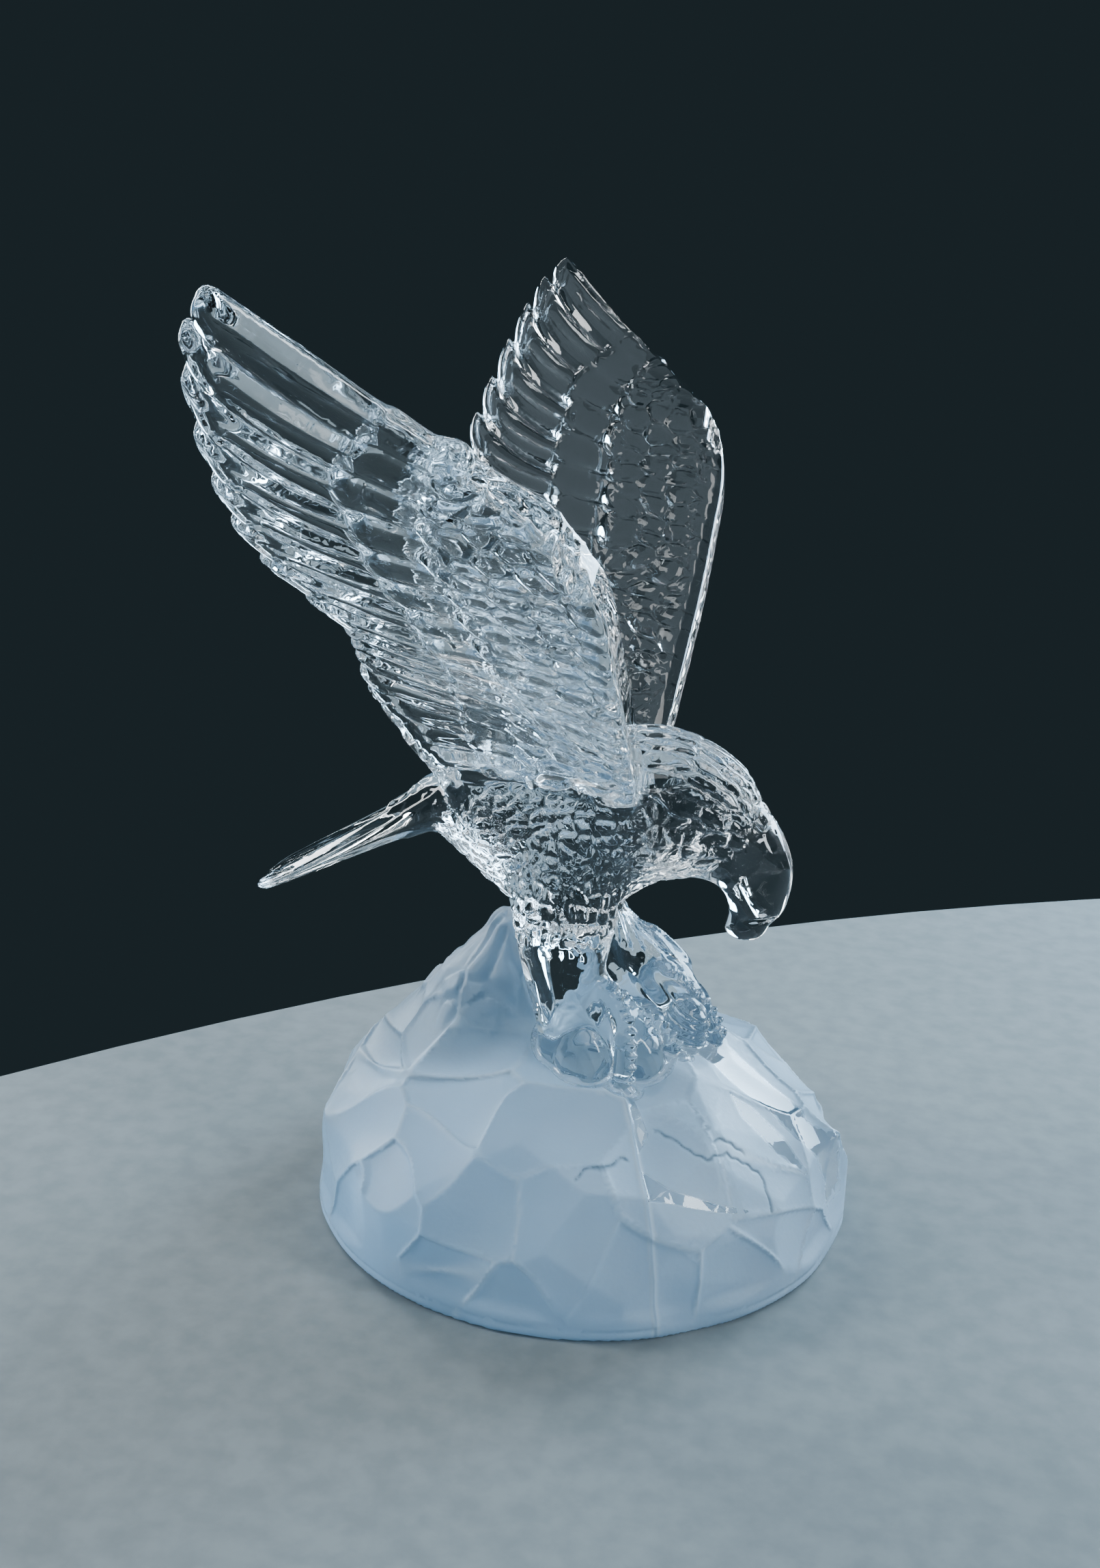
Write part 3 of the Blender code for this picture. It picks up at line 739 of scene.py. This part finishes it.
def rock_field(p):
    points, normals = PLANES
    x, y, z = p.T
    offset = (points * normals).sum(1)
    sharp = 420.0
    dome = np.full(len(p), -FAR)
    total = np.zeros(len(p))
    for n, c in zip(normals, offset):
        dome = np.maximum(dome, p @ n - c)
    for n, c in zip(normals, offset):
        total += np.exp(np.minimum((p @ n - c - dome) * sharp, 0))
    dome = dome + np.log(total) / sharp
    xc, long, wide = at(SPUR, z)
    spur = ring_distance((x - xc) / long, y / wide, long, wide) * 0.8
    streaks = (knobs(p, (0.11, 0.11, 0.30), 75, 0.3) - 0.5) * 0.018 * step(0.66, 0.84, z)
    spur = smax(spur - streaks, z - 1.10, 0.05)
    spur = smax(spur, 0.30 - z, 0.05)
    d = smin(dome, spur, 0.07)
    first, second, which = chip_cells(p)
    gap = second - first
    tone = np.sin(which * 12.9898)
    fade = step(0.05, 0.11, z)
    d = d + fade * (0.025 * np.clip(1 - (first / 0.20) ** 2, -0.3, 1) - 0.005 * np.exp(-((gap / 0.018) ** 2)) + 0.006 * tone * step(0, 0.02, gap))
    # foot: a smooth band with a fine step above its edge
    rho = np.sqrt(x * x + y * y)
    band = rho - (1.0 - 0.006 * np.exp(-(((z - 0.036) / 0.007) ** 2)) - 0.012 * step(0.018, 0.0, z))
    d = smax(d, band, 0.012)
    # mould seam down the front
    angle = np.arctan2(y, x)
    seam = (angle - seam_turn(z)) * rho
    d = d + (0.010 * step(-0.008, 0.008, seam) * step(0.16, 0.04, seam) - 0.006 * np.exp(-((seam / 0.012) ** 2))) * (y < 0) * step(0.03, 0.06, z)
    # cracks
    near = (p[:, 0] > 0.05) & (p[:, 1] < -0.40) & (p[:, 2] > 0.25)
    if near.any():
        groove = crack_gap(p[near])
        d[near] += 0.006 * np.exp(-((groove / 0.0050) ** 2))
    return smax(d, -z, 0.004)


# ---------------------------------------------------------------- the whole figure
def boxed(p, low, high, work):
    """Works out a field only where it matters."""
    out = np.full(len(p), FAR)
    low, high = np.array(low), np.array(high)
    m = ((p >= low) & (p <= high)).all(1)
    if m.any():
        out[m] = work(p[m])
    return out


def figure(p, shapes):
    """(distance, distance to the rock alone, distance to the eagle alone)"""
    wing, head = shapes
    wings = boxed(p, (-1.15, -2.3, 1.05), (0.5, 2.3, 3.6), lambda q: wing_field(q, wing))
    body = boxed(p, (-0.85, -0.5, 0.9), (0.6, 0.5, 2.0), body_field)
    skull = boxed(p, (-0.02, -0.42, 1.0), (0.85, 0.42, 1.95), lambda q: head_field(q, head))
    tail = boxed(p, (-1.45, -0.35, 0.95), (-0.25, 0.35, 1.85), tail_field)
    d = smin(body, skull, 0.03)
    d = smin(d, tail, 0.03)
    for side in (-1, 1):
        low, high = (-0.5, -0.55, 0.45), (0.65, -0.0, 1.6)
        if side > 0:
            low, high = (-0.5, 0.0, 0.45), (0.65, 0.55, 1.6)
        pad = 0.12
        leg = boxed(p, (low[0], low[1] - pad, low[2]), (high[0], high[1] + pad, high[2]), lambda q, s=side: leg_field(q, s) + FAR * (q[:, 1] * s < -0.02))
        foot = boxed(p, (low[0], low[1] - pad, low[2]), (high[0], high[1] + pad, 1.25), lambda q, s=side: foot_field(q, s) + FAR * (q[:, 1] * s < -0.08))
        d = smin(d, smin(leg, foot, 0.03), 0.05)
    eagle = smin(d, wings, 0.035)
    rock = boxed(p, (-1.12, -1.12, -0.2), (1.12, 1.12, 1.35), rock_field)
    return smin(eagle, rock, 0.014), rock, eagle


def build_surface(shapes):
    """Vertices and quads of the zero level, found on a fine grid only near the surface."""
    low = np.array([-1.36, -2.05, -0.045])
    coarse = 4
    count = np.ceil((np.array([1.06, 2.05, 3.44]) - low) / VOXEL / coarse).astype(int)
    fine = count * coarse + 1
    centres = [low[i] + (np.arange(count[i]) + 0.5) * coarse * VOXEL for i in range(3)]
    grid = np.stack(np.meshgrid(*centres, indexing="ij"), -1).reshape(-1, 3)
    value = np.concatenate([figure(part, shapes)[0] for part in np.array_split(grid, 4)])
    blocks = np.abs(value) < coarse * VOXEL * 1.5
    sign = (value < 0).reshape(count)
    field = np.where(np.repeat(np.repeat(np.repeat(sign, coarse, 0), coarse, 1), coarse, 2), -1.0, 1.0).astype(np.float32)
    field = np.pad(field, ((0, 1), (0, 1), (0, 1)), mode="edge")
    spots = np.argwhere(blocks.reshape(count)) * coarse
    mark = np.zeros(tuple(fine), bool)
    for a in range(coarse + 1):
        for b in range(coarse + 1):
            for c in range(coarse + 1):
                mark[spots[:, 0] + a, spots[:, 1] + b, spots[:, 2] + c] = True
    index = np.argwhere(mark)
    points = low + index * VOXEL
    parts = [figure(part, shapes)[0] for part in np.array_split(points, max(1, len(points) // 300000))]
    exact = np.concatenate(parts)
    exact = np.where(np.abs(exact) < 1e-7, 1e-7, exact)
    field[index[:, 0], index[:, 1], index[:, 2]] = exact
    print("field", fine, len(points))

    inside = field < 0
    corners = [(a, b, c) for a in (0, 1) for b in (0, 1) for c in (0, 1)]
    shape = tuple(fine - 1)
    total = np.zeros(shape, np.int8)
    for a, b, c in corners:
        total += inside[a : a + shape[0], b : b + shape[1], c : c + shape[2]]
    cells = np.argwhere((total > 0) & (total < 8))
    number = np.full(shape, -1, np.int32)
    number[cells[:, 0], cells[:, 1], cells[:, 2]] = np.arange(len(cells))
    values = {corner: field[cells[:, 0] + corner[0], cells[:, 1] + corner[1], cells[:, 2] + corner[2]] for corner in corners}
    place = np.zeros((len(cells), 3))
    hits = np.zeros(len(cells))
    for axis in range(3):
        for corner in corners:
            if corner[axis]:
                continue
            other = list(corner)
            other[axis] = 1
            va, vb = values[corner], values[tuple(other)]
            cross = (va < 0) != (vb < 0)
            t = np.where(cross, va / np.where(cross, va - vb, 1), 0)
            spot = np.array(corner, float)[None].repeat(len(cells), 0)
            spot[:, axis] += t
            place += spot * cross[:, None]
            hits += cross
    vertices = low + (cells + place / hits[:, None]) * VOXEL
    quads = []
    for axis in range(3):
        u, v = (axis + 1) % 3, (axis + 2) % 3
        start = [slice(None)] * 3
        start[axis] = slice(0, -1)
        end = [slice(None)] * 3
        end[axis] = slice(1, None)
        change = inside[tuple(start)] != inside[tuple(end)]
        at_edge = np.argwhere(change)
        at_edge = at_edge[(at_edge[:, u] > 0) & (at_edge[:, v] > 0) & (at_edge[:, u] < fine[u] - 1) & (at_edge[:, v] < fine[v] - 1)]
        ring = []
        for du, dv in ((-1, -1), (0, -1), (0, 0), (-1, 0)):
            cell = at_edge.copy()
            cell[:, u] += du
            cell[:, v] += dv
            ring.append(number[cell[:, 0], cell[:, 1], cell[:, 2]])
        quad = np.stack(ring, 1)
        enters = ~inside[at_edge[:, 0], at_edge[:, 1], at_edge[:, 2]]
        quad[enters] = quad[enters][:, ::-1]
        quads.append(quad)
    quads = np.concatenate(quads)
    return vertices, quads[(quads >= 0).all(1)]


def slopes(points, shapes, reach):
    out = np.empty_like(points)
    for start in range(0, len(points), 60000):
        part = points[start : start + 60000]
        stack = []
        for axis in range(3):
            for way in (1, -1):
                moved = part.copy()
                moved[:, axis] += way * reach
                stack.append(moved)
        values = figure(np.concatenate(stack), shapes)[0].reshape(3, 2, -1)
        out[start : start + 60000] = ((values[:, 0] - values[:, 1]) / (2 * reach)).T
    return out


def make_mesh(name):
    shapes = (make_wing_maps(), make_head_map())
    vertices, quads = build_surface(shapes)
    print("surface", len(vertices), len(quads))
    # pull each vertex onto the surface
    value = figure(vertices, shapes)[0]
    slope = slopes(vertices, shapes, 0.4 * VOXEL)
    size = (slope * slope).sum(1)
    move = -value[:, None] * slope / np.maximum(size, 0.2)[:, None]
    far = np.sqrt((move * move).sum(1))
    move *= np.minimum(1, 0.45 * VOXEL / np.maximum(far, 1e-9))[:, None]
    vertices = vertices + move
    vertices[:, 2] = np.where(np.abs(vertices[:, 2]) < 0.3 * VOXEL, 0.0, vertices[:, 2])
    mesh = bpy.data.meshes.new(name)
    mesh.vertices.add(len(vertices))
    mesh.vertices.foreach_set("co", (vertices * R).astype(np.float32).ravel())
    mesh.loops.add(len(quads) * 4)
    mesh.loops.foreach_set("vertex_index", quads.astype(np.int32).ravel())
    mesh.polygons.add(len(quads))
    mesh.polygons.foreach_set("loop_start", np.arange(0, len(quads) * 4, 4, dtype=np.int32))
    mesh.update(calc_edges=True)
    mesh.validate()
    piece = bpy.data.objects.new(name, mesh)
    bpy.context.scene.collection.objects.link(piece)
    # drop crumbs, then thin the mesh out where it is flat
    work = bmesh.new()
    work.from_mesh(mesh)
    bmesh.ops.triangulate(work, faces=work.faces, quad_method="SHORT_EDGE")
    seen, islands = set(), []
    for face in work.faces:
        if face.index in seen:
            continue
        island, queue = [], [face]
        seen.add(face.index)
        while queue:
            here = queue.pop()
            island.append(here)
            for e in here.edges:
                for other in e.link_faces:
                    if other.index not in seen:
                        seen.add(other.index)
                        queue.append(other)
        islands.append(island)
    islands.sort(key=len)
    for crumb in islands[:-1]:
        bmesh.ops.delete(work, geom=crumb, context="FACES")
    print("islands", [len(i) for i in islands])
    triangles = len(work.faces)
    work.to_mesh(mesh)
    work.free()
    thin = piece.modifiers.new("thin", "DECIMATE")
    thin.ratio = min(1.0, MOST_TRIANGLES / triangles)
    graph = bpy.context.evaluated_depsgraph_get()
    final = bpy.data.meshes.new_from_object(piece.evaluated_get(graph))
    piece.modifiers.clear()
    piece.data = final
    final.name = name
    refine(final, shapes)
    # normals and surface kind straight from the field
    points = np.empty(len(final.vertices) * 3, np.float32)
    final.vertices.foreach_get("co", points)
    points = points.reshape(-1, 3).astype(float) / R
    normal = slopes(points, shapes, 0.45 * VOXEL)
    normal /= np.maximum(np.sqrt((normal * normal).sum(1)), 1e-9)[:, None]
    under = points[:, 2] < 1e-4
    normal[under & (np.hypot(points[:, 0], points[:, 1]) < 0.97)] = (0, 0, -1)
    final.shade_smooth()
    final.normals_split_custom_set_from_vertices(normal.tolist())
    _, rock, eagle = figure(points, shapes)
    return piece, points, rock, eagle


# ---------------------------------------------------------------- which places are polished
def polished(points, eagle):
    """1 where the rock is left clear, 0 where it is frosted."""
    x, y, z = points.T
    turn = np.degrees(np.arctan2(y, x))
    rho = np.hypot(x, y)
    clear = step(0.034, 0.024, eagle + 0.006 * wave(points, 91, 0.2)) * (x > -0.45)

    # broad band that runs forward from between the feet
    middle = np.interp(rho, [0.36, 0.45, 0.83], [3, 2, -8])
    half = np.interp(rho, [0.36, 0.45, 0.83, 0.86], [19, 14, 5, 0])
    clear = np.maximum(clear, step(-1.2, 1.2, half - np.abs(turn - middle)) * step(0.34, 0.37, rho) * step(0.88, 0.85, rho))
    # bright wedge beside it
    middle = np.interp(rho, [0.62, 0.90], [-21, -18.5])
    half = np.interp(rho, [0.60, 0.68, 0.80, 0.93], [0, 4.0, 3.4, 0])
    clear = np.maximum(clear, step(-0.8, 0.8, half - np.abs(turn - middle)) * (rho > 0.58))
    # facet over the front edge
    middle = np.interp(rho, [0.80, 1.0], [-9.5, -5])
    half = np.interp(rho, [0.79, 0.83, 0.98, 1.0], [0, 4.5, 4.5, 0])
    clear = np.maximum(clear, step(-0.8, 0.8, half - np.abs(turn - middle)) * (rho > 0.78) * step(0.12, 0.18, z))
    # streak beside the seam, and the wedge below it
    past = turn - np.degrees(seam_turn(z))
    half = np.interp(z, [0.52, 0.55, 0.62, 0.66], [0.3, 2.4, 1.6, 0.8])
    clear = np.maximum(clear, step(-0.4, 0.4, half - np.abs(past - 0.6 - half)) * (z > 0.52) * (z < 0.67) * (y < 0))
    share = np.clip(past / 24.0, 0, 1)
    half = 0.023 * (1 - share) ** 0.6 + 1e-4
    wedge = 1 - ((z - 0.470 + 0.118 * share) / half) ** 2
    clear = np.maximum(clear, step(-0.3, 0.3, wedge) * (past > 0.3) * (past < 24) * (y < 0))
    return clear


def line_gap(points):
    """Distance to the mould seam or the nearest crack."""
    x, y, z = points.T
    seam = np.abs(np.arctan2(y, x) - seam_turn(z)) * np.hypot(x, y)
    seam = np.where((y < 0) & (z < 0.66), seam, FAR)
    return seam, np.where((y < -0.3) & (x > 0) & (z > 0.2), crack_gap(points), FAR)


def chip_marks(points):
    """Marks from 0 to 1: a painted highlight along the ridge between two chips and beside the mould seam, a painted
    shade that darkens each chip by a random step, and a dark line along a crack with painted shade down the mould seam.
    """
    ridge, tone, crack_line_and_seam_shade = np.zeros(len(points)), np.full(len(points), 0.5), np.zeros(len(points))
    m = points[:, 2] < 1.3
    first, second, which = chip_cells(points[m])
    seam, crack = line_gap(points[m])
    vary = np.clip(0.45 + 0.8 * wave(points[m], 96, 0.5), 0.05, 1)
    # painted highlight: the colour is lightened along the ridges between chips and along a line just beside the mould
    # seam
    ridge[m] = np.maximum(np.exp(-(((second - first) / 0.012) ** 2)) * vary, np.exp(-(((seam - 0.010) / 0.006) ** 2)))
    # painted shade: each chip gets its own random darkening, in place of the light its facet would catch
    tone[m] = np.mod(which * 0.61803, 1.0) + 0.25 * wave(points[m], 95, 0.4)
    # a dark line along each crack, plus painted shade down the mould seam at half strength
    crack_line_and_seam_shade[m] = np.maximum(np.exp(-((crack / 0.0045) ** 2)), 0.5 * np.exp(-((seam / 0.005) ** 2)))
    return ridge, np.clip(tone, 0, 1), crack_line_and_seam_shade


def refine(mesh, shapes):
    """Splits the triangles that a fine line or the edge of a polished place crosses, and lays the new points on the surface."""
    work = bmesh.new()
    work.from_mesh(mesh)
    first_new = len(work.verts)
    for _ in range(4):
        work.verts.index_update()
        points = np.array([v.co for v in work.verts], float) / R
        low = points[:, 2] < 1.0
        clear, line = np.zeros(len(points)), np.full(len(points), FAR)
        _, rock, eagle = figure(points[low], shapes)
        clear[low] = np.where(rock < eagle, polished(points[low], eagle), 1.0)
        line[low] = np.minimum(*line_gap(points[low]))
        edges = list(work.edges)
        ends = np.array([(e.verts[0].index, e.verts[1].index) for e in edges])
        size = np.sqrt(((points[ends[:, 0]] - points[ends[:, 1]]) ** 2).sum(1))
        crossed = np.abs(clear[ends[:, 0]] - clear[ends[:, 1]]) > 0.3
        lined = line[ends].min(1) < 0.5 * size + 0.004
        chosen = np.nonzero((size > 0.0075) & low[ends].all(1) & (crossed | lined))[0]
        bmesh.ops.subdivide_edges(work, edges=[edges[i] for i in chosen], cuts=1)
        bmesh.ops.triangulate(work, faces=[f for f in work.faces if len(f.verts) > 3])
    work.verts.index_update()
    points = np.array([v.co for v in work.verts], float)[first_new:] / R
    if len(points):
        value = figure(points, shapes)[0]
        slope = slopes(points, shapes, 0.2 * VOXEL)
        move = -value[:, None] * slope / np.maximum((slope * slope).sum(1), 0.2)[:, None]
        move *= np.minimum(1, 0.5 * VOXEL / np.maximum(np.sqrt((move * move).sum(1)), 1e-9))[:, None]
        work.verts.ensure_lookup_table()
        for i, spot in enumerate((points + move) * R):
            work.verts[first_new + i].co = spot
    print("refined", first_new, len(work.verts), len(work.faces))
    work.to_mesh(mesh)
    work.free()
    mesh.validate()  # drops the few doubled slivers that thinning leaves
    mesh.update()


# ---------------------------------------------------------------- materials
def nodes_of(material):
    material.use_nodes = True
    tree = material.node_tree
    return tree, tree.nodes["Principled BSDF"]


def clear_crystal():
    """Polished lead crystal with the faint waves of a cast surface."""
    material = bpy.data.materials.new("clear_crystal")
    tree, shader = nodes_of(material)
    shader.inputs["Base Color"].default_value = (0.955, 0.985, 1.0, 1)
    shader.inputs["IOR"].default_value = 1.54
    shader.inputs["Transmission Weight"].default_value = 1.0
    place = tree.nodes.new("ShaderNodeTexCoord")
    smear = tree.nodes.new("ShaderNodeTexNoise")
    smear.inputs["Scale"].default_value = 55
    smear.inputs["Detail"].default_value = 3
    tree.links.new(place.outputs["Object"], smear.inputs["Vector"])
    rough = tree.nodes.new("ShaderNodeMapRange")
    rough.inputs["From Min"].default_value, rough.inputs["From Max"].default_value = 0.35, 0.75
    rough.inputs["To Min"].default_value, rough.inputs["To Max"].default_value = 0.0, 0.05
    tree.links.new(smear.outputs["Fac"], rough.inputs["Value"])
    tree.links.new(rough.outputs["Result"], shader.inputs["Roughness"])
    ripple = tree.nodes.new("ShaderNodeTexNoise")
    ripple.inputs["Scale"].default_value = 190
    ripple.inputs["Detail"].default_value = 2
    tree.links.new(place.outputs["Object"], ripple.inputs["Vector"])
    bump = tree.nodes.new("ShaderNodeBump")
    bump.inputs["Strength"].default_value = 0.05
    bump.inputs["Distance"].default_value = 0.0006
    tree.links.new(ripple.outputs["Fac"], bump.inputs["Height"])
    tree.links.new(bump.outputs["Normal"], shader.inputs["Normal"])
    return material


def frosted_crystal():
    """Acid-frosted rock: milky, with a fine grain, and polished where the attribute says so."""
    material = bpy.data.materials.new("frosted_crystal")
    tree, shader = nodes_of(material)
    shader.inputs["IOR"].default_value = 1.5
    shader.inputs["Transmission Weight"].default_value = 0.60
    place = tree.nodes.new("ShaderNodeTexCoord")
    cloud = tree.nodes.new("ShaderNodeTexNoise")
    cloud.inputs["Scale"].default_value = 26
    cloud.inputs["Detail"].default_value = 4
    tree.links.new(place.outputs["Object"], cloud.inputs["Vector"])
    tint = tree.nodes.new("ShaderNodeValToRGB")
    tint.color_ramp.elements[0].position, tint.color_ramp.elements[0].color = 0.30, (0.50, 0.68, 0.825, 1)
    tint.color_ramp.elements[1].position, tint.color_ramp.elements[1].color = 0.72, (0.67, 0.82, 0.955, 1)
    tree.links.new(cloud.outputs["Fac"], tint.inputs["Fac"])
    # painted shade: the tone attribute scales each chip's colour down by a random step, 0.84 to 1
    tone = tree.nodes.new("ShaderNodeAttribute")
    tone.attribute_name = "tone"
    shade = tree.nodes.new("ShaderNodeMapRange")
    shade.inputs["To Min"].default_value, shade.inputs["To Max"].default_value = 0.84, 1.0
    tree.links.new(tone.outputs["Fac"], shade.inputs["Value"])
    chip_shaded_tint = tree.nodes.new("ShaderNodeVectorMath")
    chip_shaded_tint.operation = "SCALE"
    tree.links.new(tint.outputs["Color"], chip_shaded_tint.inputs[0])
    tree.links.new(shade.outputs["Result"], chip_shaded_tint.inputs["Scale"])
    # painted highlight: the ridge attribute mixes the colour towards near white along chip ridges and beside the seam
    ridge = tree.nodes.new("ShaderNodeAttribute")
    ridge.attribute_name = "ridge"
    ridge_highlight_share = tree.nodes.new("ShaderNodeMath")
    ridge_highlight_share.operation = "MULTIPLY"
    ridge_highlight_share.inputs[1].default_value = 0.42
    tree.links.new(ridge.outputs["Fac"], ridge_highlight_share.inputs[0])
    lined = tree.nodes.new("ShaderNodeMix")
    lined.data_type = "RGBA"
    tree.links.new(ridge_highlight_share.outputs["Value"], lined.inputs["Factor"])
    tree.links.new(chip_shaded_tint.outputs["Vector"], lined.inputs["A"])
    lined.inputs["B"].default_value = (0.92, 0.97, 1.0, 1)
    # the crack attribute darkens the colour along each crack and paints shade down the mould seam
    crack = tree.nodes.new("ShaderNodeAttribute")
    crack.attribute_name = "crack"
    crack_line_and_seam_shade = tree.nodes.new("ShaderNodeMix")
    crack_line_and_seam_shade.data_type = "RGBA"
    tree.links.new(crack.outputs["Fac"], crack_line_and_seam_shade.inputs["Factor"])
    tree.links.new(lined.outputs["Result"], crack_line_and_seam_shade.inputs["A"])
    crack_line_and_seam_shade.inputs["B"].default_value = (0.16, 0.24, 0.30, 1)
    tree.links.new(crack_line_and_seam_shade.outputs["Result"], shader.inputs["Base Color"])
    clear = tree.nodes.new("ShaderNodeAttribute")
    clear.attribute_name = "polished"
    grain = tree.nodes.new("ShaderNodeTexNoise")
    grain.inputs["Scale"].default_value = 900
    grain.inputs["Detail"].default_value = 3
    tree.links.new(place.outputs["Object"], grain.inputs["Vector"])
    rough = tree.nodes.new("ShaderNodeMapRange")
    rough.inputs["From Min"].default_value, rough.inputs["From Max"].default_value = 0.3, 0.7
    rough.inputs["To Min"].default_value, rough.inputs["To Max"].default_value = 0.42, 0.56
    tree.links.new(grain.outputs["Fac"], rough.inputs["Value"])
    mix = tree.nodes.new("ShaderNodeMix")
    tree.links.new(clear.outputs["Fac"], mix.inputs["Factor"])
    tree.links.new(rough.outputs["Result"], mix.inputs["A"])
    mix.inputs["B"].default_value = 0.03
    tree.links.new(mix.outputs["Result"], shader.inputs["Roughness"])
    bump = tree.nodes.new("ShaderNodeBump")
    bump.inputs["Strength"].default_value = 0.12
    bump.inputs["Distance"].default_value = 0.0003
    tree.links.new(grain.outputs["Fac"], bump.inputs["Height"])
    tree.links.new(bump.outputs["Normal"], shader.inputs["Normal"])
    return material


def floor_material():
    material = bpy.data.materials.new("pale_floor")
    tree, shader = nodes_of(material)
    shader.inputs["Roughness"].default_value = 0.8
    place = tree.nodes.new("ShaderNodeTexCoord")
    noise = tree.nodes.new("ShaderNodeTexNoise")
    noise.inputs["Scale"].default_value = 160
    noise.inputs["Detail"].default_value = 4
    tree.links.new(place.outputs["Object"], noise.inputs["Vector"])
    tint = tree.nodes.new("ShaderNodeValToRGB")
    tint.color_ramp.elements[0].position, tint.color_ramp.elements[0].color = 0.35, (0.215, 0.245, 0.255, 1)
    tint.color_ramp.elements[1].position, tint.color_ramp.elements[1].color = 0.65, (0.255, 0.285, 0.295, 1)
    tree.links.new(noise.outputs["Fac"], tint.inputs["Fac"])
    tree.links.new(tint.outputs["Color"], shader.inputs["Base Color"])
    return material


def make_stage():
    mesh = bpy.data.meshes.new("floor")
    work = bmesh.new()
    bmesh.ops.create_circle(work, cap_ends=True, radius=0.80, segments=160)
    work.to_mesh(mesh)
    work.free()
    floor = bpy.data.objects.new("floor", mesh)
    floor.location = (0.459, -0.509, -0.0002)
    bpy.context.scene.collection.objects.link(floor)
    mesh.materials.append(floor_material())

    def lamp(name, place, size, power, colour, target=(0, 0, 0.09)):
        data = bpy.data.lights.new(name, "AREA")
        data.shape = "RECTANGLE"
        data.size, data.size_y = size
        data.energy = power
        data.color = colour
        light = bpy.data.objects.new(name, data)
        light.location = place
        way = Vector(target) - Vector(place)
        light.rotation_euler = way.to_track_quat("-Z", "Y").to_euler()
        bpy.context.scene.collection.objects.link(light)

    lamp("overhead", (0.46, 0.02, 0.72), (0.16, 0.30), 0.6, (1.0, 0.99, 0.97))
    lamp("ceiling", (0.05, 0.00, 1.15), (1.30, 1.30), 3.8, (0.78, 0.90, 1.0))
    lamp("window", (0.42, 0.60, 0.30), (0.50, 0.42), 8.4, (0.58, 0.80, 1.0))
    lamp("right", (0.66, -0.20, 0.42), (0.10, 0.50), 2.2, (0.86, 0.94, 1.0))
    lamp("left", (-0.62, -0.10, 0.36), (0.12, 0.50), 2.5, (0.95, 0.98, 1.0))
    lamp("left_back", (-0.60, 0.44, 0.30), (0.11, 0.50), 2.4, (0.90, 0.96, 1.0))
    lamp("top_back", (-0.36, 0.60, 0.68), (0.50, 0.08), 2.0, (0.95, 0.98, 1.0))
    lamp("front", (0.30, -0.75, 0.80), (0.40, 0.25), 0.8, (0.97, 0.98, 1.0))
    world = bpy.data.worlds.new("studio")
    world.use_nodes = True
    world.node_tree.nodes["Background"].inputs["Color"].default_value = (0.020, 0.030, 0.035, 1)
    world.node_tree.nodes["Background"].inputs["Strength"].default_value = 1.0
    bpy.context.scene.world = world


def main():
    make_camera()
    make_stage()
    piece, points, rock, eagle = make_mesh("eagle_crystal")
    mesh = piece.data
    mesh.materials.append(clear_crystal())
    mesh.materials.append(frosted_crystal())
    clear = polished(points, eagle).astype(np.float32)
    attribute = mesh.attributes.new("polished", "FLOAT", "POINT")
    attribute.data.foreach_set("value", clear)
    # ridge holds a painted highlight, tone a painted shade for each chip, and the third mark a crack line with painted
    # shade on the seam
    ridge, tone, crack_line_and_seam_shade = chip_marks(points)
    for name, values in (("ridge", ridge), ("tone", tone), ("crack", crack_line_and_seam_shade)):
        attribute = mesh.attributes.new(name, "FLOAT", "POINT")
        attribute.data.foreach_set("value", values.astype(np.float32))
    on_rock = (rock < eagle) & ~((clear > 0.97))
    corner = np.empty(len(mesh.polygons) * 3, np.int32)
    mesh.loops.foreach_get("vertex_index", corner)
    frosted = on_rock[corner.reshape(-1, 3)].sum(1) >= 2
    mesh.polygons.foreach_set("material_index", frosted.astype(np.int32))
    mesh.update()
    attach(piece, "root")
    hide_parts("eagle_figurine")
    scene = bpy.context.scene
    scene.cycles.max_bounces = 32
    scene.cycles.transmission_bounces = 28
    scene.cycles.glossy_bounces = 8
    scene.cycles.diffuse_bounces = 4
    scene.cycles.use_denoising = True
    scene.view_settings.view_transform = "AgX"
    scene.view_settings.look = "AgX - Medium High Contrast"


main()
